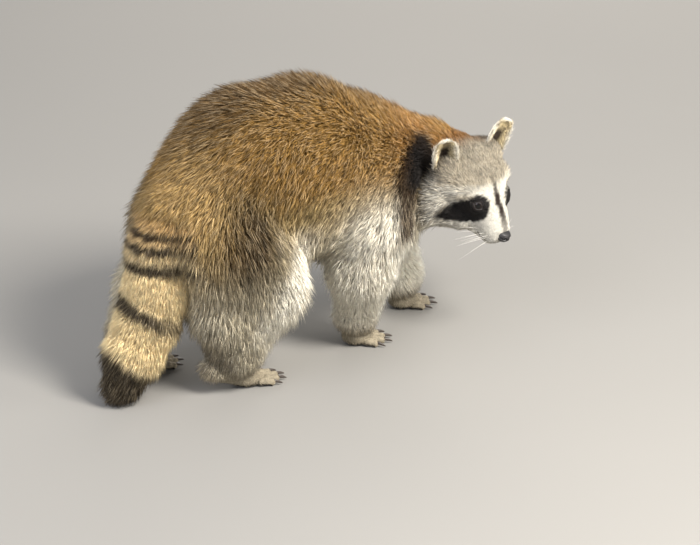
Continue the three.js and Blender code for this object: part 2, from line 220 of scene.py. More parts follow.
def blend(width, fields):
    total = fields[0]
    for f in fields[1:]:
        h = np.maximum(width - np.abs(total - f), 0) / width
        total = np.minimum(total, f) - h * h * width / 4
    return total


def ball(p, centre, radii):
    d = (p - np.array(centre, float)) / np.array(radii, float)
    k = np.linalg.norm(d, axis=1)
    return k * (k - 1) / np.maximum(np.linalg.norm(d / np.array(radii, float), axis=1), 1e-6)


def stick(p, a, b, ra, rb):
    return along(p, dict(a=np.array(a, float), b=np.array(b, float), ra=ra, rb=rb))[0]


# The eyes stand where the frame has them.
eyes = {}
for side, node in ((-1, "eye_right"), (1, "eye_left")):
    low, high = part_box(node)
    eyes[side] = toHead(toLayout((low + high) / 2))
eyeShape = dict(radius=8.5, lidOver=0.7, halfWidth=44, halfHeight=31, around=4)  # the halves in degrees

# The head's bare shape, in its own millimetres: x to the nose, y its left, z to the crown.
# A stick has two ends and the radius at each, and a ball has a centre and three radii.
headShape = dict(
    skull=((-8, 0, 2), (53, 46, 38)),
    sideSticks=[  # cheek, jaw and brow
        ((2, 42, -11), (5, 50, -31), 21, 14),
        ((6, 37, -33), (34, 19, -30), 18, 15),
        ((37, 13, 15), (20, 28, 12), 11.5, 14),
    ],
    sideBalls=[((-6, 36, 23), (17, 16, 15)), ((71, 7.4, -28.5), (16, 10, 11))],  # ear root and whisker pad
    socket=10.6,
    middleSticks=[  # bridge, nose and chin
        ((28, 0, -3), (62, 0, -15), 32, 18),
        ((60, 0, -15), (76, 0, -21.5), 18, 12.2),
        ((18, 0, -33), (70, 0, -40), 19, 8.2),
    ],
    blend=11,
)
footShape = dict(
    hind=dict(
        sole=((-9, 0, 9.5), (22, 17, 9)),
        sticks=[((-14, 0, 12), (-56, 0, 29), 12, 13), ((-42, 0, 30), (-34, 0, 58), 13, 20)],
        blend=8,
    ),
    fore=dict(sole=((-2, 0, 9.5), (19, 18, 9)), sticks=[((-6, 0, 12), (-9, -2, 40), 12, 16)], blend=7),
)


def toSide(place, side):
    return np.array(place, float) * (1, side, 1)


def headField(q):
    parts = [ball(q, *headShape["skull"])]
    for s in (-1, 1):
        parts += [stick(q, toSide(a, s), toSide(b, s), ra, rb) for a, b, ra, rb in headShape["sideSticks"]]
        parts += [ball(q, toSide(centre, s), radii) for centre, radii in headShape["sideBalls"]]
        parts.append(ball(q, eyes[s] - np.array([0.4, 0, 0.2]), (headShape["socket"],) * 3))
    parts += [stick(q, *ends) for ends in headShape["middleSticks"]]
    return blend(headShape["blend"], parts)


def footFrame(limb):
    turn = math.radians(limb["heading"])
    c, s = math.cos(turn), math.sin(turn)
    return np.array([[c, -s, 0], [s, c, 0], [0, 0, 1]]), np.array(limb["foot"], float)


def footField(p, limb):
    turn, place = footFrame(limb)
    q = (p - place) @ turn
    shape = footShape["hind" if limb["hind"] else "fore"]
    return blend(shape["blend"], [ball(q, *shape["sole"])] + [stick(q, *ends) for ends in shape["sticks"]])


# how widely each part runs into the next
softness = dict(spine=24, leg=18, foot=12, body=34, tail=16, head=14)


def bodyField(p):
    fields = [blend(softness["spine"], [along(p, part)[0] for part in trunkBones])]
    for name, limb in limbs.items():
        own = blend(softness["leg"], [along(p, part)[0] for part in limbBones[name]])
        if limb["calf"]:
            calf = blend(softness["leg"], [along(p, part)[0] for part in limbBones[name + "Calf"]])
            own = blend(softness["leg"], [own, calf])
        fields.append(blend(softness["foot"], [own, footField(p, limb)]))
    body = blend(softness["body"], fields + [along(p, neckBones[0])[0]])
    tailField = blend(softness["tail"], [along(p, part)[0] for part in tailBones])
    return blend(softness["tail"], [body, tailField])


def skinField(p):
    return blend(softness["head"], [bodyField(p), headField(toHead(p))])


def slopeOf(field, p, step=0.4):
    out = np.empty_like(p)
    for axis in range(3):
        shift = np.zeros(3)
        shift[axis] = step
        out[:, axis] = (field(p + shift) - field(p - shift)) / (2 * step)
    return out


# ---- making and finishing meshes ----


def nothingSelected():
    if bpy.context.object and bpy.context.object.mode != "OBJECT":
        bpy.ops.object.mode_set(mode="OBJECT")
    bpy.ops.object.select_all(action="DESELECT")


def onlySelected(piece):
    nothingSelected()
    piece.select_set(True)
    bpy.context.view_layer.objects.active = piece


def readOut(rows, name, width, kind=float):
    # one value of every row of a mesh, as an array
    out = np.empty(len(rows) * width, dtype=kind)
    rows.foreach_get(name, out)
    return out.reshape(-1, width) if width > 1 else out


def pointsOf(piece):
    return toLayout(readOut(piece.data.vertices, "co", 3))


def primitivePoints(piece):
    # a new primitive's own places, before it is shaped
    return (pointsOf(piece) - boxMiddle) * mm


def placePoints(piece, p):
    piece.data.vertices.foreach_set("co", toScene(p).ravel())
    piece.data.update()


def painted(mesh, name, colour):
    full = np.ones((len(colour), 4))
    full[:, :3] = colour
    mesh.attributes.new(name, "FLOAT_COLOR", "POINT").data.foreach_set("color", full.ravel())


def applied(piece, kind, **settings):
    onlySelected(piece)
    step = piece.modifiers.new(kind.lower(), kind)
    for key, value in settings.items():
        setattr(step, key, value)
    bpy.ops.object.modifier_apply(modifier=step.name)


def joined(pieces, name):
    nothingSelected()
    for piece in pieces:
        piece.select_set(True)
    bpy.context.view_layer.objects.active = pieces[0]
    bpy.ops.object.join()
    pieces[0].name = pieces[0].data.name = name
    return pieces[0]


def settled(piece):
    # the place goes into the mesh, and the object stays at the origin
    onlySelected(piece)
    bpy.ops.object.transform_apply(location=True, rotation=True, scale=True)


def faceOut(piece):
    onlySelected(piece)
    bpy.ops.object.mode_set(mode="EDIT")
    bpy.ops.mesh.select_all(action="SELECT")
    bpy.ops.mesh.normals_make_consistent(inside=False)
    bpy.ops.object.mode_set(mode="OBJECT")


def smoothShaded(piece):
    onlySelected(piece)
    bpy.ops.object.shade_smooth()


def unitBall(segments, rings):
    nothingSelected()
    bpy.ops.mesh.primitive_uv_sphere_add(segments=segments, ring_count=rings, radius=1, location=(0, 0, 0))
    return bpy.context.object


def copies(piece, count):
    # the piece and copies of it, each with its own mesh
    made = [piece]
    for _ in range(count - 1):
        made.append(piece.copy())
        made[-1].data = piece.data.copy()
        bpy.context.scene.collection.objects.link(made[-1])
    return made


# ---- the skin ----

skinMake = dict(
    voxel=3.8, eveningRounds=2, farthestStep=3.0, floorGap=0.4,
    headLump=(46, 50, 40), soleLump=dict(hind=(19, 17, 9), fore=(18, 18, 9)),
    neckLump=((-30, 0, 0), (250, 20, 220), 34, 38),  # from inside the head to a place in the neck
)


def boneLumps():
    # a ball at each joint and a cone between, all overlapping
    lumps = []

    def addBall(centre, radii):
        bpy.ops.mesh.primitive_ico_sphere_add(subdivisions=3, radius=1, location=(0, 0, 0))
        lump = bpy.context.object
        placePoints(lump, primitivePoints(lump) * np.array(radii) + np.array(centre))
        lumps.append(lump)

    def addStick(a, b, ra, rb):
        a, b = np.array(a, float), np.array(b, float)
        addBall(a, (ra,) * 3)
        addBall(b, (rb,) * 3)
        bpy.ops.mesh.primitive_cone_add(
            vertices=40, radius1=ra * mm, radius2=rb * mm, depth=float(np.linalg.norm(b - a)) * mm,
            location=toScene((a + b) / 2), rotation=Vector(b - a).to_track_quat("Z", "Y").to_euler(),
        )
        lumps.append(bpy.context.object)
        settled(lumps[-1])

    nothingSelected()
    for part in everyBone:
        addStick(part["a"], part["b"], part["ra"], part["rb"])
    for limb in limbs.values():
        turn, place = footFrame(limb)
        kind = "hind" if limb["hind"] else "fore"
        shape = footShape[kind]
        addBall(np.array(shape["sole"][0]) @ turn.T + place, skinMake["soleLump"][kind])
        for a, b, ra, rb in shape["sticks"]:
            addStick(np.array(a) @ turn.T + place, np.array(b) @ turn.T + place, ra, rb)
    addBall(fromHead(headShape["skull"][0]), skinMake["headLump"])
    for s in (-1, 1):
        for a, b, ra, rb in headShape["sideSticks"]:
            addStick(fromHead(toSide(a, s)), fromHead(toSide(b, s)), ra, rb)
        addBall(fromHead(eyes[s]), (headShape["socket"],) * 3)
    for a, b, ra, rb in headShape["middleSticks"]:
        addStick(fromHead(a), fromHead(b), ra, rb)
    inHead, inNeck, ra, rb = skinMake["neckLump"]
    addStick(fromHead(inHead), inNeck, ra, rb)
    return lumps


def evened(piece, rounds):
    # drops every vertex onto the skin's shape and evens the faces between
    p = pointsOf(piece)
    edges = readOut(piece.data.edges, "vertices", 2, np.int64)
    reach = skinMake["farthestStep"]
    for step in range(rounds + 1):
        for _ in range(2 if step == 0 else 1):
            slope = slopeOf(skinField, p)
            drop = skinField(p) / np.maximum(np.einsum("ij,ij->i", slope, slope), 0.3)
            p = p - slope * np.clip(drop, -reach, reach)[:, None]
        if step == rounds:
            break
        total = np.zeros((len(p), 3))
        number = np.zeros(len(p))
        for a, b in ((0, 1), (1, 0)):
            np.add.at(total, edges[:, a], p[edges[:, b]])
            np.add.at(number, edges[:, a], 1)
        # each goes half way to the middle of its neighbours
        p = 0.5 * p + 0.5 * (total / np.maximum(number, 1)[:, None])
    placePoints(piece, p)


def subdivideWhere(piece, test):
    onlySelected(piece)
    chosen = test(toLayout(readOut(piece.data.polygons, "center", 3)))
    bpy.ops.object.mode_set(mode="EDIT")
    bpy.ops.mesh.select_mode(type="FACE")
    bpy.ops.mesh.select_all(action="DESELECT")
    bpy.ops.object.mode_set(mode="OBJECT")
    piece.data.polygons.foreach_set("select", chosen)
    bpy.ops.object.mode_set(mode="EDIT")
    bpy.ops.mesh.subdivide(number_cuts=1)
    bpy.ops.object.mode_set(mode="OBJECT")


def eyeDistance(q):
    return np.minimum(np.linalg.norm(q - eyes[-1], axis=1), np.linalg.norm(q - eyes[1], axis=1))


mouth = dict(
    line=[(92, 0, -33.5), (84, 9, -35), (74, 14, -35.5), (64, 18, -35), (56, 22, -32)],
    depth=1.5,
    width=1.0,
    lip=0.5,
    lipAway=2.4,
    furrow=0.9,  # from the nose down the middle of the lip
)


def lineDistance(q, places):
    best = np.full(len(q), 1e9)
    for a, b in zip(places, places[1:]):
        a, b = np.array(a, float), np.array(b, float)
        t = np.clip(((q - a) @ (b - a)) / ((b - a) @ (b - a)), 0, 1)
        best = np.minimum(best, np.linalg.norm(q - a - t[:, None] * (b - a), axis=1))
    return best


def flatDistance(q, places, halves=None):
    # as seen from the side: how far outside a band of uneven width
    flat = q[:, [0, 2]]
    best = np.full(len(q), 1e9)
    for k, (a, b) in enumerate(zip(places, places[1:])):
        a, b = np.array(a, float), np.array(b, float)
        t = np.clip(((flat - a) @ (b - a)) / ((b - a) @ (b - a)), 0, 1)
        d = np.linalg.norm(flat - a - t[:, None] * (b - a), axis=1)
        best = np.minimum(best, d - (mix(halves[k], halves[k + 1], t) if halves else 0))
    return best


def folded(q):
    # the head's right side laid over its left
    return np.stack([q[:, 0], np.abs(q[:, 1]), q[:, 2]], 1)


def bothSides(q, places):
    return lineDistance(folded(q), places)


def eyeAxes(side):
    # straight out, towards the nose, and up along the lids
    out = unit(np.array([0.62, side * 0.72, 0.3]))
    nose = np.array([0.78, -side * 0.6, -0.25])
    nose = unit(nose - out * (nose @ out))
    return out, nose, np.cross(nose, out) * side


def lidShape(e, side):
    # below 1 inside the opening between the lids
    out, nose, up = eyeAxes(side)
    across = np.degrees(np.arctan2(e @ nose, e @ out)) / eyeShape["halfWidth"]
    height = np.degrees(np.arctan2(e @ up, e @ out)) / eyeShape["halfHeight"]
    return np.sqrt(across**2 + (height / np.maximum(1 - 0.42 * across**2, 0.25)) ** 2)


def betweenLids(q, side, edge):
    # the places in the opening of an eye, out to the edge given as a share of its size
    e = unit(q - eyes[side])
    near = np.linalg.norm(q - eyes[side], axis=1) < eyeShape["radius"] + eyeShape["around"]
    return near & (e @ eyeAxes(side)[0] > 0.1) & (lidShape(e, side) < edge)


def faceDetail(piece):
    p = pointsOf(piece)
    q = toHead(p)
    face = np.where(q[:, 0] > 20)[0]
    normals = unit(slopeOf(skinField, p[face])) @ headTurn
    f = q[face]
    away = bothSides(f, mouth["line"])
    crease = -mouth["depth"] * np.exp(-((away / mouth["width"]) ** 2))
    f = f + normals * (crease + mouth["lip"] * hump(away, mouth["lipAway"], 1.3))[:, None]
    split = np.abs(f[:, 1]) + np.maximum(0, f[:, 2] + 24) * 3
    f = f - normals * (mouth["furrow"] * hump(split, 0, 0.9) * smooth(84, 88, f[:, 0]))[:, None]
    for side in (-1, 1):
        reach = np.linalg.norm(f - eyes[side], axis=1)
        e = unit(f - eyes[side])
        lids = lidShape(e, side)
        close = (reach < eyeShape["radius"] + 7) & (e @ eyeAxes(side)[0] > 0.1)
        inside = close & (lids < 1.0)
        lidRadius = eyeShape["radius"] + eyeShape["lidOver"] + 0.9 * smooth(1.0, 1.35, lids)
        fold = -0.55 * hump(lids, 1.75, 0.16)
        weight = close * (1 - smooth(1.5, 2.3, lids))
        reach = mix(reach, lidRadius, weight) + fold * close
        reach = np.where(inside, eyeShape["radius"] - 1.6, reach)
        f = np.where(close[:, None], eyes[side] + e * reach[:, None], f)
    p[face] = fromHead(f)
    p[:, 2] = np.maximum(p[:, 2], skinMake["floorGap"])
    placePoints(piece, p)


def onFace(p, behind, reach):
    # the places in front of a plane across the head, near its surface
    q = toHead(p)
    return (q[:, 0] > behind) & (headField(q) < reach)


def makeSkinBody():
    body = joined(boneLumps(), "skin")
    applied(body, "REMESH", mode="VOXEL", voxel_size=skinMake["voxel"] * mm)
    evened(body, skinMake["eveningRounds"])
    subdivideWhere(body, lambda p: onFace(p, -22, 6))
    evened(body, 1)
    subdivideWhere(body, lambda p: onFace(p, 50, 5) | (eyeDistance(toHead(p)) < 17))
    evened(body, 1)

    def byEyeOrMouth(p):
        q = toHead(p)
        return (eyeDistance(q) < 12.5) | ((bothSides(q, mouth["line"]) < 2.6) & (q[:, 0] > 54))

    subdivideWhere(body, byEyeOrMouth)
    evened(body, 0)
    faceDetail(body)
    faceOut(body)
    return body


# ---- toes ----

toes = dict(radius=4.3, knuckle=0.5, hindLength=27, foreLength=25, hindSplay=9, foreSplay=15)


def toeLine(limb, spread):
    hind = limb["hind"]
    length = (toes["hindLength"] if hind else toes["foreLength"]) - 2.2 * spread * spread
    angle = math.radians(spread * (toes["hindSplay"] if hind else toes["foreSplay"]))
    root = np.array([(4 if hind else 9) - 1.4 * spread * spread, spread * 7.6, 6.2])
    tip = root + np.array([math.cos(angle) * length, math.sin(angle) * length, -1.6])
    turn, place = footFrame(limb)
    return root @ turn.T + place, tip @ turn.T + place


def alongAxes(root, tip):
    way = unit(tip - root)
    side = unit(np.cross(np.array([0, 0, 1.0]), way))
    return way, side, np.cross(way, side)


everyToe = [(limb, spread) for limb in limbs.values() for spread in (-2, -1, 0, 1, 2)]


def makeToes():
    made = copies(unitBall(18, 14), len(everyToe))
    p = primitivePoints(made[0])
    t = (p[:, 2] + 1) / 2  # from root to tip
    girth = toes["radius"] * (1 + 0.10 * hump(t, 0.45, 0.12) - 0.06 * hump(t, 0.68, 0.1))
    pad = 0.5 * hump(t, 0.85, 0.1) * (p[:, 1] < 0)
    full = np.sqrt(np.maximum(0, 1 - np.abs(2 * t - 1) ** 5))
    flat = np.hypot(p[:, 0], p[:, 1])
    flat = np.where(flat < 1e-6, 1, flat)
    across, high = p[:, 0] / flat, p[:, 1] / flat
    arch = toes["knuckle"] * 1.6 * hump(t, 0.45, 0.2)
    for toe, (limb, spread) in zip(made, everyToe):
        root, tip = toeLine(limb, spread)
        way, side, up = alongAxes(root, tip)
        x = -3 + (float(np.linalg.norm(tip - root)) + 2.6) * t
        places = root + np.outer(x, way) + np.outer(across * full * girth, side)
        places += np.outer(high * full * girth * (1 + pad) + arch, up)
        places[:, 2] = np.maximum(places[:, 2], skinMake["floorGap"])
        placePoints(toe, places)
    return made


# ---- ears ----

ears = dict(height=34.5, halfWidth=17.0, thickness=1.9, cup=12, lean=2.0)


def earAxes(side):
    up = unit(headTurn @ np.array([-0.13, side * 0.3, 0.95]))
    forward = headTurn @ np.array([1, -0.3 if side > 0 else -0.4, 0.0])
    forward = unit(forward - up * (forward @ up))
    return fromHead((-4, side * 45, 35)), forward, np.cross(up, forward), up


def earPlace(u, w, side):
    # u runs across from -1 to 1 and w up from 0 to 1
    base, forward, across, up = earAxes(side)
    rim = np.sqrt(np.maximum(0.0, 1 - w**3.2))
    width = ears["halfWidth"] * (0.86 + 0.26 * w) * np.maximum(rim, 0.02)
    cup = (ears["cup"] - 6.5 * w) * (1 - u * u) * np.maximum(rim, 0.05)
    height = ears["height"] * (w * 1.3 - 0.3)
    depth = -cup - ears["lean"] * w * w
    return base + np.outer(depth, forward) + np.outer(u * width, across) + np.outer(height, up)


def makeEars():
    nothingSelected()
    bpy.ops.mesh.primitive_grid_add(x_subdivisions=30, y_subdivisions=34, size=2, location=(0, 0, 0))
    made = copies(bpy.context.object, 2)
    for ear, side in zip(made, (-1, 1)):
        p = primitivePoints(ear)
        placePoints(ear, earPlace(p[:, 0], (p[:, 1] + 1) / 2, side))
        applied(ear, "SOLIDIFY", thickness=ears["thickness"] * mm, offset=0.0, use_rim=True)
        applied(ear, "SUBSURF", levels=1, render_levels=1)
        faceOut(ear)
    return made


def marked(piece, value):
    mark = piece.data.attributes.new("part", "INT", "POINT")
    mark.data.foreach_set("value", np.full(len(piece.data.vertices), value, dtype=np.int32))
    return piece


onBody, onToe, onEar = 0, 1, 2
skinBody = marked(makeSkinBody(), onBody)
print("skin shaped:", len(skinBody.data.polygons), "faces")
toePieces = [marked(toe, onToe) for toe in makeToes()]
earPieces = [marked(ear, onEar) for ear in makeEars()]
skin = joined([skinBody] + toePieces + earPieces, "skin")
smoothShaded(skin)
onlySelected(skin)
bpy.ops.object.mode_set(mode="EDIT")
bpy.ops.mesh.select_all(action="SELECT")
bpy.ops.uv.smart_project(angle_limit=1.15, island_margin=0.004)
bpy.ops.object.mode_set(mode="OBJECT")
skin.data.uv_layers[0].name = "OFBake"
print("skin joined and unwrapped:", len(skin.data.polygons), "faces")

# ---- markings: the colour of any place on the coat ----

furTints = dict(
    back="#9b773c",
    backDarkAndShade="#4b361b",
    nape="#a5733a",
    flank="#a58e5c",
    rump="#caa86c",
    flankPale="#bfb28e",
    haunch="#3c2c1a",
    legGrey="#ddd3ba",
    foreleg="#f2ebda",
    cream="#f6f0e1",
    belly="#cdc4ae",
    foot="#a89d87",
    tailPale="#f4dcab",
    tailTan="#dcb67c",
    tailDark="#261c14",
    white="#d6d1c4",
    crown="#b3aa98",
    collarFurAndShade="#33220f",
    mask="#171412",
    muzzleStripe="#2a1e17",
    earBack="#b5ab9c",
    earInside="#bdae8a",
    earHollow="#33271d",
    skinDark="#231c19",
    sole="#1f1a18",
)
furTints = {key: tint(code) for key, code in furTints.items()}

# middle and half-width of each dark ring, along the tail
tailRings = [(13.5, 4.4), (30, 5.2), (57.5, 8.2), (121, 9)]
tailTipStarts = 186

# on the side of the face, as x and z
maskLine = [(54, -3), (46, -9), (37, -16.5), (28, -27.5)]
maskHalf = [12.5, 16, 13.5, 6.5]
maskRoundEye = 14
browLine = [(57, 18), (45, 22), (32, 16), (16, 8), (3, -8)]
# up the middle of the face, as x, y and z
stripeLine = [(88, 0, -12), (62, 0, 7), (44, 0, 24), (26, 0, 38)]
# on the body
thighLine = [(34, -46, 200), (30, -50, 176), (20, -58, 154), (-4, -66, 126), (-16, -34, 84)]  # pale front
napeBlackAndShadeLine = [(230, -34, 256), (214, -46, 228)]  # black fur behind the right ear, darkened further by painted shade in the crease by the shoulder
# a dark band down the right side of the neck: partly dark fur, partly painted shade in the crease between the
# cheek ruff and the shoulder
collarAndShadeLine = [(213, -50, 242), (197, -58, 228), (193, -65, 208), (191, -69, 184), (193, -68, 166)]
bodyClouds = dict(  # centre and radii of each soft patch
    rump=((-108, 10, 244), (48, 60, 70)),
    nape=((228, 10, 246), (46, 60, 42)),
    chest=((262, 30, 118), (62, 70, 62)),
    shoulders=[((130, y, 162), (48, 60, 46)) for y in (-54, 168)],
    haunches=[((-62, y, 212), (38, 60, 48)) for y in (-50, 164)],
)
bodyBands = dict(flank=(135, 205), back=(195, 262), hindLeg=(110, 215), foreleg=(205, 262))  # heights


def nearParts(p):
    # how strongly each part of the body owns each place, and what its bones say there
    groups = {}
    length = np.zeros(len(p))
    lie = np.zeros((len(p), 3))
    total = np.zeros(len(p))
    distances = [along(p, part) for part in everyBone]
    nearest = np.min([d for d, _ in distances], axis=0)
    for part, (d, t) in zip(everyBone, distances):
        w = np.exp(-(d - nearest) / 9.0)
        lieWeight = np.exp(-(d - nearest) / 20.0)
        groups[part["group"]] = groups.get(part["group"], 0) + w
        length += w * mix(part["hairA"], part["hairB"], t)
        lie += lieWeight[:, None] * part["lie"]
        total += w
    for key in groups:
        groups[key] = groups[key] / total
    return groups, length / total, unit(lie)


def tailRun(p):
    # millimetres along the tail from its root, and the distance from its middle
    best = np.full(len(p), 1e9)
    run = np.zeros(len(p))
    done = 0.0
    for part in tailBones:
        way = part["b"] - part["a"]
        length = np.linalg.norm(way)
        t = ((p - part["a"]) @ way) / length**2
        last = part is tailBones[-1]
        held = np.clip(t, 0, 1.9 if last else 1)
        d = np.linalg.norm(p - part["a"] - held[:, None] * way, axis=1)
        closer = d < best
        best = np.where(closer, d, best)
        run = np.where(closer, done + held * length, run)
        done += length
    level = 1.1 * (222 - p[:, 2])  # the first rings lie level, the last ones slant
    slant = 0.3 * np.clip(54 - p[:, 1], -10, 60) * smooth(84, 110, run)
    return mix(level, run, smooth(58, 92, run)) - slant, best


def legColour(p, n, limb, inward, height, rough):
    c = furTints
    hind = limb["hind"]
    low, high = ("legGrey", "hindLeg") if hind else ("foreleg", "foreleg")
    leg = mix(c[low], c["flank"], smooth(*bodyBands[high], height))
    front = smooth(0.05, 0.7, n[:, 0] + 0.2 * rough)
    inner = smooth(0.2, 0.8, n[:, 1] * inward)
    leg = mix(leg, c["cream"], np.clip((0.5 if hind else 0.9) * front + 0.6 * inner, 0, 1))
    if hind:
        leg = mix(leg, c["haunch"], 0.6 * smooth(0.3, 0.9, -n[:, 0]) * smooth(115, 50, p[:, 2]))
        leg = mix(leg, c["haunch"], 0.3 * smooth(130, 190, height) * smooth(0.5, -0.2, n[:, 0]))
    return mix(leg, c["foot"], smooth(40, 16, p[:, 2]))


def bodyColour(p, n, groups):
    c = furTints
    rough = waves(p, 60, 11)
    lump = waves(p, 26, 12)
    height = p[:, 2] + 14 * rough + 7 * lump
    colour = mix(c["flankPale"], c["flank"], smooth(*bodyBands["flank"], height))
    colour = mix(colour, c["back"], smooth(*bodyBands["back"], height))
    # the top of the back darker: partly a darker stripe down the back, partly painted shade over the ridge
    # and down the animal's left side
    ridgeAndFarShade = smooth(0.3, 0.95, n[:, 2]) * smooth(-12, 44, p[:, 1] + 12 * lump) * smooth(-108, -56, p[:, 0])
    colour = mix(colour, c["backDarkAndShade"], 0.8 * ridgeAndFarShade)
    colour = mix(colour, c["belly"], smooth(-0.35, -0.9, n[:, 2]) * 0.85)
    # warm brown over the neck, then cream between the forelegs and on the low shoulders
    warm = cloud(p, *bodyClouds["nape"])
    colour = mix(colour, c["nape"], 0.9 * np.clip(warm * 1.4, 0, 1))
    chest = cloud(p, *bodyClouds["chest"])
    colour = mix(colour, c["cream"], 0.9 * np.clip(chest * 1.5, 0, 1) * smooth(0.75, 0.1, n[:, 2]))
    for patch in bodyClouds["shoulders"]:
        colour = mix(colour, c["foreleg"], 0.85 * np.clip(cloud(p, *patch) * 1.4, 0, 1))
    for name, limb in limbs.items():
        inward = 1 if "Right" in name else -1
        leg = legColour(p, n, limb, inward, height, rough)
        colour = mix(colour, leg, np.clip(groups[name] * 1.25, 0, 1))
    for patch in bodyClouds["haunches"]:
        colour = mix(colour, c["haunch"], 0.92 * np.clip(cloud(p, *patch) * 1.6, 0, 1))
    colour = mix(colour, c["rump"], 0.85 * np.clip(cloud(p, *bodyClouds["rump"]) * 1.4, 0, 1))
    # the pale front of both thighs, found on the right one
    onRight = np.where((p[:, 1] > 56)[:, None], p * np.array([1, -1, 1]) + np.array([0, 112, 0]), p)
    pale = lineDistance(onRight * np.array([1, 0.6, 1]), [(x, y * 0.6, z) for x, y, z in thighLine])
    colour = mix(colour, c["cream"], 0.9 * smooth(40, 12, pale + 6 * lump) * smooth(212, 164, p[:, 2]))
    # the dark band and black patch behind the right ear: partly dark fur, partly painted shade in the crease
    # between cheek ruff and shoulder
    colour = mix(colour, c["collarFurAndShade"], 0.95 * smooth(34, 22, lineDistance(p, collarAndShadeLine) + 3 * lump))
    return mix(colour, c["mask"], 0.97 * smooth(29, 18, lineDistance(p, napeBlackAndShadeLine) + 3 * lump))


def tailColour(p, n):
    c = furTints
    litSide = smooth(-0.1, 0.75, n @ np.array([0.85, -0.52, 0]))  # the rings are weaker on the side of the tail facing the light: painted light
    run = tailRun(p)[0] + 2.4 * waves(p, 16, 21)
    colour = mix(c["tailTan"], c["tailPale"], smooth(2, 50, run))
    for middle, half in tailRings:
        ring = smooth(half + 1.8, half - 1.8, np.abs(run - middle))
        colour = mix(colour, c["tailDark"], (0.96 - 0.4 * litSide) * ring)
    colour = mix(colour, c["tailDark"], 0.95 * smooth(tailTipStarts - 3, tailTipStarts + 5, run))
    return mix(colour, c["back"], smooth(4, -8, run) * 0.8)


def headColour(q, part):
    c = furTints
    rough = waves(q, 16, 31)
    fine = waves(q, 8, 32)
    x, y, z = q[:, 0], np.abs(q[:, 1]), q[:, 2]
    colour = np.tile(c["white"], (len(q), 1))
    # grizzled crown, from the brows back to the nape
    crown = smooth(-6, 17, z + 0.3 * (x - 20) + 3 * rough + 2 * fine) * smooth(64, 46, x)
    colour = mix(colour, c["crown"], crown)
    colour = mix(colour, c["nape"], smooth(-8, -34, x + 4 * rough) * smooth(-20, 12, z))
    # the pale brow that runs back to the cheek
    brow = flatDistance(q, browLine)
    colour = mix(colour, c["white"], smooth(9, 3.5, brow + 1.5 * fine))
    # the mask, round each eye and back over the cheek
    mask = np.minimum(flatDistance(q, maskLine, maskHalf), eyeDistance(q) - maskRoundEye)
    band = smooth(1.6, -2.2, mask + 1.4 * fine) * smooth(6, 9.5, y + 0.6 * fine)
    colour = mix(colour, c["mask"], band)
    # the stripe from the nose up to the forehead
    stripe = bothSides(q, stripeLine) - (5.0 - 1.4 * smooth(60, 40, x))
    stripe = np.where(z > -17, stripe, 9)
    strength = (1 - 0.4 * smooth(70, 88, x)) * (1 - smooth(46, 30, x))
    colour = mix(colour, c["muzzleStripe"], smooth(2.2, -2.2, stripe + 1.3 * fine) * strength)
    lips = bothSides(q, mouth["line"])
    colour = mix(colour, c["skinDark"], smooth(3.0, 1.3, lips) * (part == onBody))
    colour = mix(colour, c["belly"], 0.5 * smooth(-36, -52, z) * smooth(30, 0, x))
    behindEar = cloud(folded(q), (-29, 62, 27), (24, 27, 27))
    return mix(colour, c["mask"], 0.96 * np.clip(behindEar * 1.9, 0, 1))


def earColour(p, n):
    c = furTints
    colour = np.zeros((len(p), 3))
    for side in (-1, 1):
        base, forward, across, up = earAxes(side)
        d = p - base
        height = (d @ up) / ears["height"]
        u = (d @ across) / ears["halfWidth"]
        own = (np.abs(d @ across) < 40) & (np.linalg.norm(d, axis=1) < 75)
        inside = smooth(-0.1, 0.45, n @ forward)
        edge = np.maximum(smooth(0.72, 0.94, np.abs(u) + 0.12 * height), smooth(0.84, 0.97, height))
        back = mix(c["earBack"], c["mask"], smooth(0.5, 0.0, height))
        hollow = mix(c["earHollow"], c["earInside"], smooth(0.3, 0.66, np.maximum(np.abs(u), height - 0.04)))
        whole = mix(mix(back, hollow, inside), c["white"], edge * 0.95)
        colour = np.where(own[:, None], whole, colour)
    return colour


def headShare(p):
    # 1 on the head, 0 on the body
    difference = bodyField(p) - headField(toHead(p))
    return smooth(-7, 9, difference)


def coatColour(p, n, part):
    groups, _, _ = nearParts(p)
    colour = bodyColour(p, n, groups)
    reach = p[:, 0] - 12 * smooth(214, 190, p[:, 2])
    onTail = smooth(226, 219, p[:, 2]) * smooth(-97, -109, reach) * smooth(78, 66, tailRun(p)[1])
    hind = groups["hindLeft"] + groups["hindRight"]
    onTail *= 1 - smooth(0.3, 0.6, hind) * smooth(168, 140, p[:, 2])
    onTail = np.maximum(onTail, smooth(0.35, 0.75, groups["tail"]) * smooth(232, 222, p[:, 2]))
    colour = mix(colour, tailColour(p, n), onTail)
    colour = mix(colour, headColour(toHead(p), part), headShare(p) * (part != onToe))
    colour = np.where((part == onToe)[:, None], furTints["foot"], colour)
    return np.where((part == onEar)[:, None], earColour(p, n), colour)


# ---- how the hair lies ----

nose = dict(middle=(87.3, 0, -22.8), radii=(9.4, 9.5, 8.4))
hair = dict(  # lengths of hair where the bones don't say them
    muzzle=3.0, face=5.5, crown=6, nape=9, cheek=18, throat=6, temple=7, byEye=2.6,
    foot=5.0, toe=3.4, earHollow=5.0, earHollowEdge=9.0, earBack=5.2,
)
hairLift = dict(body=41.0, head=28.0, temple=32, foot=8, tail=38, short=16, belly=58)  # degrees off the skin


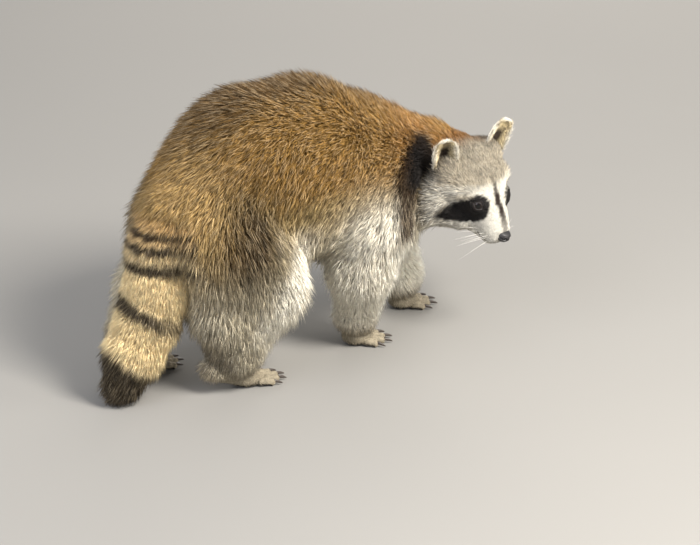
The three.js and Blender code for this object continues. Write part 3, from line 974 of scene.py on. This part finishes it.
def hairPlan(p, n, part):
    # length, lie and lift of the hair at each root
    groups, length, lie = nearParts(p)
    q = toHead(p)
    share = headShare(p) * (part == onBody)
    x, y, z = q[:, 0], np.abs(q[:, 1]), q[:, 2]
    cheek = smooth(14, 46, y) * smooth(26, -14, z) * smooth(62, 30, x)
    temple = cloud(folded(q), (26, 38, 14), (16, 14, 13))
    outward = np.sign(q[:, 1]) * (0.12 + 0.55 * cheek + 0.5 * temple)
    way = np.stack([-1 + 0.35 * cheek, outward, 0.05 - 0.6 * cheek], 1)
    way[:, 2] += 0.25 * smooth(10, 30, z) * smooth(60, 40, x)
    way[:, 2] -= 0.35 * smooth(-26, -40, z)
    headLie = unit(way) @ headTurn.T
    headLength = hair["muzzle"] + hair["face"] * smooth(66, 34, x)
    headLength = headLength + hair["crown"] * smooth(20, -30, x) + hair["nape"] * smooth(-25, -60, x)
    headLength += (
        hair["cheek"] * cheek * smooth(40, 6, x) + hair["throat"] * smooth(-20, -44, z) * smooth(60, 20, x)
        + hair["temple"] * temple
    )
    headLength = mix(headLength, hair["byEye"], smooth(21, 11, eyeDistance(q)))
    length = mix(length, headLength, share)
    lie = unit(mix(lie, headLie, share))
    foot = smooth(34, 16, p[:, 2]) * (1 - groups["tail"]) * (1 - share)
    length = mix(length, hair["foot"], foot)
    toe = part == onToe
    length = np.where(toe, hair["toe"], length)
    forward = np.tile(np.array([0.9, 0, -0.25]), (len(p), 1))
    lie = np.where(toe[:, None], forward, lie)
    onHead = hairLift["head"] + hairLift["temple"] * temple
    lift = np.radians(mix(hairLift["body"], onHead, share) - hairLift["foot"] * foot)
    lift = mix(lift, math.radians(hairLift["tail"]), groups["tail"] * (1 - share))
    lift = mix(lift, math.radians(hairLift["short"]), smooth(6, 3, length))
    # the belly's hair hangs
    hang = smooth(-0.1, -0.7, n[:, 2]) * groups["trunk"] * (1 - share)
    lift = mix(lift, math.radians(hairLift["belly"]), hang)
    length = length * (1 + 0.25 * hang)
    # ears: towards the tip, and out over the rim
    for s in (-1, 1):
        base, forwardEar, across, up = earAxes(s)
        d = p - base
        own = (part == onEar) & (np.linalg.norm(d, axis=1) < 75)
        u = (d @ across) / ears["halfWidth"]
        inside = (n @ forwardEar) > 0.1
        sway = up + across * (u * 0.45)[:, None] * np.where(inside, -1.2, 1.0)[:, None]
        lie = np.where(own[:, None], unit(sway), lie)
        hollow = np.where(np.abs(u) > 0.45, hair["earHollowEdge"], hair["earHollow"])
        length = np.where(own, np.where(inside, hollow, hair["earBack"]), length)
        lift = np.where(own, np.where(inside, 0.55, 0.3), lift)
    return length, lie, lift, share, groups


# ---- the coat ----

coatMake = dict(
    seed=7,
    cover=dict(body=4.2, leg=3.7, tail=5.2, head=3.8, short=2.5, ear=2.4, foot=1.0),
    most=32000,  # tufts in one piece
    buriedBelow=-1.0,
    floorGap=0.3,
    lean=0.19,  # how far each tuft strays from its neighbours
    lengths=(0.72, 1.12),
    lifts=(0.7, 1.25),
    widths=(0.8, 1.2),
    bright=(0.8, 1.16),
    darkTips=0.4,
    paleTips=0.3,
    paleTip=(0.68, 0.55, 0.36),
)


def widthOf(length):
    return 0.30 + 0.020 * length


def partOf(piece):
    return readOut(piece.data.attributes["part"].data, "value", 1, np.int32)


def skinTriangles():
    # the skin's faces cut into triangles in one fixed order, whichever corner each face starts from
    mesh = skin.data
    corners = readOut(mesh.loops, "vertex_index", 1, np.int64)
    starts = readOut(mesh.polygons, "loop_start", 1, np.int64)
    sizes = readOut(mesh.polygons, "loop_total", 1, np.int64)
    loops = []
    for size in np.unique(sizes):
        own = starts[sizes == size][:, None] + np.arange(size)
        lowest = np.argmin(corners[own], axis=1)[:, None]
        own = np.take_along_axis(own, (lowest + np.arange(size)) % size, axis=1)
        loops += [own[:, [0, k, k + 1]] for k in range(1, size - 1)]
    loops = np.concatenate(loops)
    order = np.lexsort(corners[loops].T[::-1])
    return corners[loops][order], loops[order]


def tuftsWanted(middle, facing, kind):
    # tufts to each square millimetre
    length, _, _, share, groups = hairPlan(middle, facing, kind)
    cover = coatMake["cover"]
    wanted = np.full(len(middle), cover["body"])
    wanted = mix(wanted, cover["leg"], sum(groups[name] for name in limbs))
    wanted = mix(wanted, cover["tail"], groups["tail"])
    wanted = mix(wanted, cover["head"], share)
    wanted = mix(wanted, cover["short"], smooth(8, 4, length))
    low = smooth(36, 22, middle[:, 2]) * (1 - groups["tail"]) * (1 - share)
    wanted = mix(wanted, cover["foot"], low)
    wanted = np.where(kind == onToe, cover["foot"], wanted)
    wanted = np.where(kind == onEar, cover["ear"], wanted)
    dense = wanted / (0.5 * length * widthOf(length))
    # bare places: inside the lids, under the nose pad, the soles, and skin buried in skin
    q = toHead(middle)
    for s in (-1, 1):
        dense = np.where(betweenLids(q, s, 1.22), 0, dense)
    pad = np.linalg.norm((q - np.array(nose["middle"])) / (np.array(nose["radii"]) + 1.5), axis=1)
    dense = np.where((pad < 1) & (kind == onBody), 0, dense)
    dense = np.where((middle[:, 2] < 9) & (facing[:, 2] < -0.45), 0, dense)
    return np.where((skinField(middle) < coatMake["buriedBelow"]) & (kind != onBody), 0, dense)


def scatterRoots(g):
    p, normals, part = pointsOf(skin), readOut(skin.data.vertices, "normal", 3), partOf(skin)
    uv = readOut(skin.data.uv_layers["OFBake"].data, "uv", 2)
    triangles, loops = skinTriangles()
    corner = p[triangles]
    area = 0.5 * np.linalg.norm(np.cross(corner[:, 1] - corner[:, 0], corner[:, 2] - corner[:, 0]), axis=1)
    kind = part[triangles[:, 0]]
    expected = tuftsWanted(corner.mean(1), unit(normals[triangles].mean(1)), kind) * area
    number = np.floor(expected + g.uniform(size=len(expected))).astype(int)
    chosen = np.repeat(np.arange(len(area)), number)
    a, b = g.uniform(size=len(chosen)), g.uniform(size=len(chosen))
    flip = a + b > 1
    a, b = np.where(flip, 1 - a, a), np.where(flip, 1 - b, b)
    weights = np.stack([1 - a - b, a, b], 1)
    root = np.einsum("ij,ijk->ik", weights, p[triangles[chosen]])
    normal = unit(np.einsum("ij,ijk->ik", weights, normals[triangles[chosen]]))
    place = np.einsum("ij,ijk->ik", weights, uv[loops[chosen]])
    return root, normal, place, kind[chosen]


def raised(lie, normal, lift):
    return lie * np.cos(lift)[:, None] + normal * np.sin(lift)[:, None]


def buildTufts(g):
    root, normal, place, kind = scatterRoots(g)
    length, lie, lift, share, groups = hairPlan(root, normal, kind)
    count = len(root)
    # the coat parts into locks: neighbours lean the same way
    long = smooth(8, 26, length)
    sway = np.stack([waves(root, 17, seed) for seed in (41, 42, 43)], 1)
    sway += 0.6 * np.stack([waves(root, 48, seed) for seed in (44, 45, 46)], 1)
    lie = lie + 0.18 * sway * (0.35 + 0.65 * long)[:, None] + coatMake["lean"] * g.normal(size=(count, 3))
    lie = unit(lie - normal * np.einsum("ij,ij->i", lie, normal)[:, None])
    length = length * g.uniform(*coatMake["lengths"], count) * (1 + 0.10 * waves(root, 22, 47))
    lift = lift * g.uniform(*coatMake["lifts"], count)
    width = widthOf(length) * g.uniform(*coatMake["widths"], count)
    # each tuft rises from just under the skin, then bends over
    first = raised(lie, normal, np.minimum(lift * 1.2, 1.25))
    start = root - normal * np.minimum(1.2, 0.25 * length)[:, None]
    middle = start + first * (0.46 * length)[:, None]
    tip = middle + raised(lie, normal, lift * 0.68) * (0.54 * length)[:, None]
    for end in (middle, tip):
        end[:, 2] = np.maximum(end[:, 2], coatMake["floorGap"])
    return dict(
        root=root, normal=normal, place=place, kind=kind, length=length, width=width, first=first,
        side=np.cross(lie, normal), start=start, middle=middle, tip=tip, share=share, groups=groups,
    )


def tuftColours(g, t):
    ear = (t["kind"] == onEar)[:, None]
    atRoot = coatColour(t["root"], t["normal"], t["kind"])
    middle = np.where(ear, atRoot, coatColour(t["middle"], t["normal"], t["kind"]))
    further = mix(t["middle"], t["tip"], 1 - 0.5 * t["groups"]["tail"])
    tip = np.where(ear, atRoot, coatColour(further, t["normal"], t["kind"]))
    # longer hair of a middling brightness has dark or pale tips
    bright = middle @ np.array([0.3, 0.6, 0.1])
    agouti = smooth(0.02, 0.08, bright) * smooth(0.85, 0.45, bright) * smooth(4, 12, t["length"])
    roll = g.uniform(size=len(middle))
    darkTip = ((roll < coatMake["darkTips"]) & (agouti > 0.2))[:, None]
    paleTip = ((roll > 1 - coatMake["paleTips"]) & (agouti > 0.2))[:, None]
    scatter = g.uniform(*coatMake["bright"], len(middle))[:, None]
    # the root corner is darkened as painted shade deep in the coat, less on the head and on hair without
    # banded tips
    base = middle * (0.62 + 0.16 * (1 - agouti) + 0.12 * t["share"])[:, None] * scatter
    middle = middle * scatter
    tip = tip * 1.1 * scatter
    tip = np.where(darkTip, tip * 0.3, tip)
    middle = np.where(darkTip, middle * 0.72, middle)
    pale = tip * 0.6 + np.array(coatMake["paleTip"]) * 0.4
    tip = np.where(paleTip, pale, tip)
    middle = np.where(paleTip, middle * 0.65 + pale * 0.35, middle)
    return [np.clip(colour, 0, 1) for colour in (base, middle, middle, middle, tip)]


# A tuft is a thin lock: a point at the root, three corners part way up and a point at the tip.
tuftCorners = [(-0.5, 0.0), (0.5, 0.0), (0.0, 0.6)]  # across and up, in widths
tuftFaces = np.array([(0, 2, 1), (0, 3, 2), (0, 1, 3), (1, 2, 4), (2, 3, 4), (3, 1, 4)])
tuftPatch = np.array([(0, -1), (-1, 0), (1, 0), (0, 0.2), (0, 1)]) * 0.0015  # its corners' places in the bake


def tuftMesh(name, t, colours, chosen):
    count = len(chosen)
    side, first, width = t["side"][chosen], t["first"][chosen], t["width"][chosen][:, None]
    up = np.cross(side, first)
    verts = np.empty((count, 5, 3))
    verts[:, 0], verts[:, 4] = t["start"][chosen], t["tip"][chosen]
    for k, (across, high) in enumerate(tuftCorners):
        verts[:, 1 + k] = t["middle"][chosen] + (side * across + up * high) * width
    faces = (tuftFaces[None] + 5 * np.arange(count)[:, None, None]).reshape(-1, 3)
    uv = t["place"][chosen][:, None, :] + tuftPatch[None]
    mesh = bpy.data.meshes.new(name)
    mesh.vertices.add(count * 5)
    mesh.vertices.foreach_set("co", toScene(verts.reshape(-1, 3)).ravel())
    mesh.loops.add(len(faces) * 3)
    mesh.loops.foreach_set("vertex_index", faces.ravel())
    mesh.polygons.add(len(faces))
    mesh.polygons.foreach_set("loop_start", np.arange(len(faces)) * 3)
    mesh.update(calc_edges=True)
    painted(mesh, "coatColour", np.stack([colour[chosen] for colour in colours], 1).reshape(-1, 3))
    layer = mesh.uv_layers.new(name="OFBake")
    layer.data.foreach_set("uv", np.clip(uv.reshape(-1, 2)[faces.ravel()], 0.0005, 0.9995).ravel())
    mesh.polygons.foreach_set("use_smooth", np.ones(len(faces), dtype=bool))
    mesh.update()
    piece = bpy.data.objects.new(name, mesh)
    bpy.context.scene.collection.objects.link(piece)
    return piece


def coatRegions(t):
    p, share, groups = t["root"], t["share"], t["groups"]
    q = toHead(p)
    region = np.full(len(p), "trunk", dtype="U16")
    legs = sum(groups[name] for name in limbs)
    region = np.where(legs > 0.5, "legs", region)
    region = np.where(groups["tail"] > 0.5, "tail", region)
    low = (p[:, 2] < 26) & (groups["tail"] < 0.5)
    region = np.where((t["kind"] == onToe) | low, "feet", region)
    region = np.where(share > 0.5, "cheeks", region)
    region = np.where((share > 0.5) & (q[:, 0] > 38), "face", region)
    region = np.where(t["kind"] == onEar, "ears", region)
    return region


coatSlots = dict(
    trunk="coat", legs="leg_fur", tail="tail_fur", feet="paw_fur", cheeks="face_fur", face="face_fur",
    ears="ear_fur",
)


def makeCoat():
    g = np.random.default_rng(coatMake["seed"])
    tufts = buildTufts(g)
    colours = tuftColours(g, tufts)
    region = coatRegions(tufts)
    pieces = []
    for key in coatSlots:
        chosen = np.where(region == key)[0]
        chosen = chosen[np.argsort(tufts["root"][chosen, 0], kind="stable")]
        parts = max(1, math.ceil(len(chosen) / coatMake["most"]))
        for k, share in enumerate(np.array_split(chosen, parts)):
            name = "coat" + key.capitalize() + (str(k + 1) if parts > 1 else "")
            piece = tuftMesh(name, tufts, colours, share)
            pieces.append((piece, coatSlots[key]))
        print("coat", key, len(chosen), "tufts in", parts)
    return pieces


def colourSkin():
    p, normals = pointsOf(skin), readOut(skin.data.vertices, "normal", 3)
    # the skin under the coat takes the coat's colour, darkened as painted shade under the hair
    colour = coatColour(p, normals, partOf(skin)) * 0.7
    for s in (-1, 1):
        colour[betweenLids(toHead(p), s, 1.3)] = furTints["skinDark"]
    colour[(p[:, 2] < 6) & (normals[:, 2] < -0.4)] = furTints["sole"]
    painted(skin.data, "coatColour", colour)


coatPieces = makeCoat()
colourSkin()
print("coat made:", sum(len(piece.data.polygons) for piece, _ in coatPieces), "faces")

# ---- materials ----


def newMaterial(name, roughness):
    material = bpy.data.materials.new(name)
    material.use_nodes = True
    tree = material.node_tree
    shader = tree.nodes["Principled BSDF"]
    shader.inputs["Roughness"].default_value = roughness
    return material, tree.nodes, tree.links, shader


def pattern(nodes, links, kind, scale):
    # a pattern that stays with the piece
    place = nodes.new("ShaderNodeTexCoord")
    texture = nodes.new(kind)
    texture.inputs["Scale"].default_value = scale
    links.new(place.outputs["Object"], texture.inputs["Vector"])
    return texture


def addBump(nodes, links, shader, height, strength, depth):
    bump = nodes.new("ShaderNodeBump")
    bump.inputs["Strength"].default_value = strength
    bump.inputs["Distance"].default_value = depth
    links.new(height, bump.inputs["Height"])
    links.new(bump.outputs["Normal"], shader.inputs["Normal"])
    return bump


def furMaterial(name, look):
    # the painted colour, with lighter and darker flecks
    material, nodes, links, shader = newMaterial(name, look["roughness"])
    colour = nodes.new("ShaderNodeAttribute")
    colour.attribute_name = "coatColour"
    flecks = pattern(nodes, links, "ShaderNodeTexNoise", look["fleckScale"])
    flecks.inputs["Detail"].default_value = 4
    strength = nodes.new("ShaderNodeMapRange")
    ends = {"From Min": 0.3, "From Max": 0.7, "To Min": look["darkest"], "To Max": look["palest"]}
    for key, value in ends.items():
        strength.inputs[key].default_value = value
    links.new(flecks.outputs["Fac"], strength.inputs["Value"])
    scale = nodes.new("ShaderNodeVectorMath")
    scale.operation = "SCALE"
    links.new(colour.outputs["Color"], scale.inputs[0])
    links.new(strength.outputs["Result"], scale.inputs["Scale"])
    links.new(scale.outputs["Vector"], shader.inputs["Base Color"])
    shader.inputs["Specular IOR Level"].default_value = look["specular"]
    if look["bump"]:
        grain = pattern(nodes, links, "ShaderNodeTexNoise", 900)
        grain.inputs["Detail"].default_value = 3
        addBump(nodes, links, shader, grain.outputs["Fac"], look["bump"], 0.0008)
    return material


def twoToneMaterial(name, look):
    # two tones over noise, or over small cells where the look has pebbles
    material, nodes, links, shader = newMaterial(name, look["roughness"])
    if "pebbles" in look:
        value = pattern(nodes, links, "ShaderNodeTexVoronoi", look["scale"]).outputs["Distance"]
        addBump(nodes, links, shader, value, look["pebbles"], 0.0004).invert = True
        shader.inputs["Coat Weight"].default_value = look["wet"]
        shader.inputs["Coat Roughness"].default_value = 0.2
    else:
        value = pattern(nodes, links, "ShaderNodeTexNoise", look["scale"]).outputs["Fac"]
    ramp = nodes.new("ShaderNodeValToRGB")
    ramp.color_ramp.elements[0].color = (*look["dark"], 1)
    ramp.color_ramp.elements[1].color = (*look["pale"], 1)
    links.new(value, ramp.inputs["Fac"])
    links.new(ramp.outputs["Color"], shader.inputs["Base Color"])
    return material


coatMaterial = furMaterial(
    "coatFur", dict(fleckScale=140, darkest=0.8, palest=1.2, roughness=0.62, specular=0.3, bump=0.0)
)
skinMaterial = furMaterial(
    "skinUnderFur", dict(fleckScale=260, darkest=0.6, palest=1.0, roughness=0.75, specular=0.2, bump=0.7)
)


def shown(piece, material, nodes=()):
    piece.data.materials.clear()
    piece.data.materials.append(material)
    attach(piece, "root")
    if nodes:
        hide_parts(*nodes)


fleshNodes = [
    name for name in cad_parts
    if name in ("trunk", "neck", "head", "tail") or name.split("_")[0] in ("upper", "lower", "foot", "ear")
]
shown(skin, skinMaterial, fleshNodes)
for piece, slot in coatPieces:
    shown(piece, coatMaterial)

# ---- eyes ----

eyeLook = dict(iris="#160b05", pupil="#020202", white="#120c09", irisAngle=40, pupilAngle=18, cornea=0.05)
lidRim = dict(tube=0.1, across=0.6, high=0.45, proud=0.4)


def eyeMaterial():
    material, nodes, links, shader = newMaterial("eyeWet", 0.06)
    colour = nodes.new("ShaderNodeAttribute")
    colour.attribute_name = "eyeColour"
    links.new(colour.outputs["Color"], shader.inputs["Base Color"])
    shader.inputs["Specular IOR Level"].default_value = 0.35
    shader.inputs["Coat Weight"].default_value = 0.1
    shader.inputs["Coat Roughness"].default_value = 0.02
    return material


def shapeEye(eye, side, name):
    eye.name = eye.data.name = name
    p = primitivePoints(eye)
    out, nose, up = eyeAxes(side)
    angle = np.degrees(np.arccos(np.clip(p[:, 2], -1, 1)))
    bulge = 1 + eyeLook["cornea"] * smooth(42, 26, angle)
    q = eyes[side] + (
        np.outer(p[:, 0], nose) + np.outer(p[:, 1], up) + np.outer(p[:, 2], out)
    ) * (eyeShape["radius"] * bulge)[:, None]
    placePoints(eye, fromHead(q))
    ray = waves(p * 10, 3, 61)
    iris, pupil = eyeLook["irisAngle"], eyeLook["pupilAngle"]
    colour = mix(tint(eyeLook["white"]), tint(eyeLook["iris"]), smooth(iris + 3, iris - 1, angle))
    colour = colour * (1 + 0.35 * ray)[:, None]
    colour = mix(colour, tint(eyeLook["pupil"]), smooth(pupil + 2, pupil - 1, angle))
    painted(eye.data, "eyeColour", np.clip(colour, 0, 1))
    faceOut(eye)
    smoothShaded(eye)
    return eye


def makeLidRims():
    # the dark wet edge of the lids
    nothingSelected()
    bpy.ops.mesh.primitive_torus_add(
        major_segments=72, minor_segments=10, major_radius=1, minor_radius=lidRim["tube"], location=(0, 0, 0)
    )
    rims = copies(bpy.context.object, 2)
    for rim, side in zip(rims, (-1, 1)):
        out, nose, up = eyeAxes(side)
        p = primitivePoints(rim)
        turn = np.arctan2(p[:, 1], p[:, 0])
        offset = (np.hypot(p[:, 0], p[:, 1]) - 1) / lidRim["tube"]
        lift = p[:, 2] / lidRim["tube"]
        a, b = np.cos(turn), np.sin(turn)
        scale = np.full(len(p), 1.0)
        for _ in range(18):  # walks out to the edge of the opening
            ax, hy = a * scale, b * scale
            e = unit(
                out + np.outer(np.tan(np.radians(ax * eyeShape["halfWidth"])), nose)
                + np.outer(np.tan(np.radians(hy * eyeShape["halfHeight"])), up)
            )
            scale = scale / np.maximum(lidShape(e, side), 0.2) ** 0.7
        ringWay = unit(np.outer(a, nose) + np.outer(b, up))
        ringWay = unit(ringWay - e * np.einsum("ij,ij->i", ringWay, e)[:, None])
        centre = eyes[side] + e * (eyeShape["radius"] + lidRim["proud"])
        q = centre + ringWay * (offset * lidRim["across"])[:, None] + e * (lift * lidRim["high"])[:, None]
        placePoints(rim, fromHead(q))
        faceOut(rim)
    piece = joined(rims, "lidRims")
    smoothShaded(piece)
    return piece


noseMaterial = twoToneMaterial("noseLeather", dict(
    scale=1100, dark=tint("#0d0b0b"), pale=tint("#1d1918"), pebbles=0.6, roughness=0.5, wet=0.12,
))
wetEye = eyeMaterial()
eyeSides = ((-1, "eyeRight", "eye_right"), (1, "eyeLeft", "eye_left"))
for eye, (side, name, node) in zip(copies(unitBall(48, 32), 2), eyeSides):
    shown(shapeEye(eye, side, name), wetEye, [node])
shown(makeLidRims(), noseMaterial)


# ---- nose ----

def makeNose():
    pad = unitBall(96, 64)
    p = primitivePoints(pad)
    d = p[:, [2, 1, 0]].copy()  # the poles look forwards and backwards
    out = np.ones(len(d))
    y, z = np.abs(d[:, 1]), d[:, 2]
    # nostrils: a round pit and a slit curling out to the side
    pit = np.hypot((y - 0.40) / 0.20, (z - 0.02) / 0.21)
    slitEnds = np.hypot(np.maximum(0, 0.45 - y) + np.maximum(0, y - 0.85), 0)
    slit = slitEnds + np.abs(z + 0.12 - 0.30 * (y - 0.45)) / 0.11
    front = smooth(0.0, 0.25, d[:, 0])
    out -= 0.42 * np.exp(-(pit**2) * 1.2) * front
    out -= 0.22 * np.exp(-(slit**2)) * smooth(0.4, 0.5, y) * smooth(-0.2, 0.2, d[:, 0])
    # the groove down the middle, and a flat upper edge
    out -= 0.09 * hump(d[:, 1], 0, 0.06) * smooth(0.25, -0.1, z) * front
    out += 0.05 * hump(pit, 1.5, 0.4) * front
    d = d * out[:, None]
    d[:, 2] = np.where(d[:, 2] > 0.62, 0.62 + (d[:, 2] - 0.62) * 0.5, d[:, 2])
    placePoints(pad, fromHead(d * np.array(nose["radii"]) + np.array(nose["middle"])))
    pad.name = pad.data.name = "nosePad"
    faceOut(pad)
    smoothShaded(pad)
    return pad


shown(makeNose(), noseMaterial, ["nose"])

# ---- claws ----

claws = dict(length=10.2, radius=2.0, curve=2.4, narrow=0.78, deep=1.1, sunk=2.2, raised=1.3, floorGap=0.25)


def makeClaws():
    made = copies(unitBall(14, 16), len(everyToe))
    p = primitivePoints(made[0])
    t = (p[:, 2] + 1) / 2  # from root to point
    girth = claws["radius"] * np.sqrt(np.maximum(0, 1 - t**1.6)) * np.minimum(1, 0.7 + 3 * t)
    girth = np.where(t < 0.001, 0, girth)
    flat = np.maximum(np.hypot(p[:, 0], p[:, 1]), 1e-6)
    across, high = p[:, 0] / flat * claws["narrow"], p[:, 1] / flat * claws["deep"]
    for claw, (limb, spread) in zip(made, everyToe):
        root, tip = toeLine(limb, spread)
        way, side, up = alongAxes(root, tip)
        places = tip + np.outer(-claws["sunk"] + (claws["length"] + 1.5) * t, way)
        places += np.outer(across * girth, side) + np.outer(high * girth, up)
        places += np.outer(claws["raised"] - claws["curve"] * t**2, up)
        places[:, 2] = np.maximum(places[:, 2], claws["floorGap"])
        placePoints(claw, places)
    piece = joined(made, "claws")
    faceOut(piece)
    smoothShaded(piece)
    return piece


clawMaterial = twoToneMaterial(
    "clawHorn", dict(scale=600, dark=tint("#1c1714"), pale=tint("#4a3f36"), roughness=0.4)
)
shown(makeClaws(), clawMaterial, [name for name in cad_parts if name.startswith("claw")])


print("eyes, nose and claws made")

# ---- whiskers ----

whiskers = dict(perSide=9, length=44, lengths=(0.7, 1.05), thickness=0.32, stray=0.12, droop=7, seed=5)


def whiskerStart():
    # a thin cone cut into short lengths
    nothingSelected()
    bpy.ops.mesh.primitive_cone_add(vertices=5, radius1=1, radius2=0.15, depth=1, location=(0, 0, 0))
    bpy.ops.object.mode_set(mode="EDIT")
    bpy.ops.mesh.select_all(action="DESELECT")
    bpy.ops.object.mode_set(mode="OBJECT")
    start = bpy.context.object
    for edge in start.data.edges:
        a, b = (start.data.vertices[i].co for i in edge.vertices)
        edge.select = abs(a.z - b.z) > 0.9
    bpy.ops.object.mode_set(mode="EDIT")
    bpy.ops.mesh.subdivide(number_cuts=7)
    bpy.ops.object.mode_set(mode="OBJECT")
    return start


def makeWhiskers():
    g = np.random.default_rng(whiskers["seed"])
    made = copies(whiskerStart(), 2 * whiskers["perSide"])
    p = primitivePoints(made[0])
    t = p[:, 2] + 0.5
    for k, whisker in enumerate(made):
        side = -1 if k < whiskers["perSide"] else 1
        row, column = divmod(k % whiskers["perSide"], 3)
        root = np.array([80 - 5.5 * column, side * (9.5 + 1.6 * column), -25 - 3.2 * row])
        way = np.array([-0.25 - 0.28 * column, side * 1.0, -0.12 - 0.2 * row])
        way = unit(way + whiskers["stray"] * g.normal(size=3))
        length = whiskers["length"] * g.uniform(*whiskers["lengths"])
        across = unit(np.cross(way, np.array([0, 0, 1.0])))
        high = np.cross(across, way)
        droop = np.outer(-whiskers["droop"] * t**2, np.array([0.35, 0, 1.0]))
        q = root + np.outer(t * length, way) + droop
        q += (np.outer(p[:, 0], across) + np.outer(p[:, 1], high)) * whiskers["thickness"]
        placePoints(whisker, fromHead(q))
    piece = joined(made, "whiskers")
    faceOut(piece)
    smoothShaded(piece)
    return piece


whiskerMaterial = twoToneMaterial(
    "whiskerHair", dict(scale=300, dark=tint("#b8b0a4"), pale=tint("#efece6"), roughness=0.45)
)
shown(makeWhiskers(), whiskerMaterial)


# ---- floor, light and camera ----

stageLook = dict(floor="#83817d", darker=0.96, size=14)


def makeFloor():
    nothingSelected()
    bpy.ops.mesh.primitive_plane_add(size=stageLook["size"], location=(0, 0, 0))
    floor = bpy.context.object
    floor.name = floor.data.name = "paleFloor"
    pale = tint(stageLook["floor"])
    look = dict(scale=2.5, dark=pale * stageLook["darker"], pale=pale, roughness=0.9)
    floor.data.materials.append(twoToneMaterial("paleFloor", look))


# where the camera stands: it looks down a little, from the animal's right and behind
cameraPlace = dict(azimuth=-40, elevation=22, distance=4600, aim=(107.4, 131.2), pixel=1.22)
turn = math.radians(cameraPlace["azimuth"])
tip = math.radians(cameraPlace["elevation"])
cameraBack = np.array([math.sin(turn) * math.cos(tip), -math.cos(turn) * math.cos(tip), math.sin(tip)])
cameraRight = np.array([math.cos(turn), math.sin(turn), 0.0])
cameraUp = np.cross(cameraBack, cameraRight)


def makeCamera():
    aim = cameraRight * cameraPlace["aim"][0] + cameraUp * cameraPlace["aim"][1]
    at = toScene(aim + cameraBack * cameraPlace["distance"])
    data = bpy.data.cameras.new("mainCamera")
    camera = bpy.data.objects.new("mainCamera", data)
    bpy.context.scene.collection.objects.link(camera)
    rows = [(cameraRight[i], cameraUp[i], cameraBack[i], at[i]) for i in range(3)]
    camera.matrix_world = Matrix(rows + [(0, 0, 0, 1)])
    data.sensor_width = 36
    data.lens = cameraPlace["distance"] / cameraPlace["pixel"] * 36 / 700
    data.clip_end = 60
    bpy.context.scene.camera = camera


lights = dict(
    key=dict(way=(0.68, 0.62, 1.0), distance=2.6, size=0.9, power=152, colour="#fffaf2"),
    fill=dict(way=(-0.7, 0.25, 1.0), distance=3.0, size=2.4, power=66, colour="#f2f5ff"),
    side=dict(way=(1.0, 0.12, 0.3), distance=2.8, size=1.4, power=34, colour="#fffaf2"),
    rim=dict(way=(0.2, 0.8, -0.9), distance=2.8, size=1.6, power=40, colour="#fff8ee"),
)
lampAim = (0.02, 0.0, 0.17)
sky = dict(colour=(0.94, 0.96, 1.0), strength=0.65)


def makeLights():
    aim = Vector(lampAim)
    for name, look in lights.items():
        way = unit(cameraRight * look["way"][0] + cameraUp * look["way"][1] + cameraBack * look["way"][2])
        data = bpy.data.lights.new(name + "Light", "AREA")
        data.energy = look["power"]
        data.size = look["size"]
        data.color = tint(look["colour"])
        lamp = bpy.data.objects.new(name + "Light", data)
        lamp.location = aim + Vector(way) * look["distance"]
        lamp.rotation_euler = (lamp.location - aim).to_track_quat("Z", "Y").to_euler()
        bpy.context.scene.collection.objects.link(lamp)
    world = bpy.data.worlds.new("softStudio")
    world.use_nodes = True
    background = world.node_tree.nodes["Background"]
    background.inputs["Color"].default_value = (*sky["colour"], 1)
    background.inputs["Strength"].default_value = sky["strength"]
    bpy.context.scene.world = world
    bpy.context.scene.view_settings.view_transform = "Standard"


makeFloor()
makeCamera()
makeLights()
print("stage set")
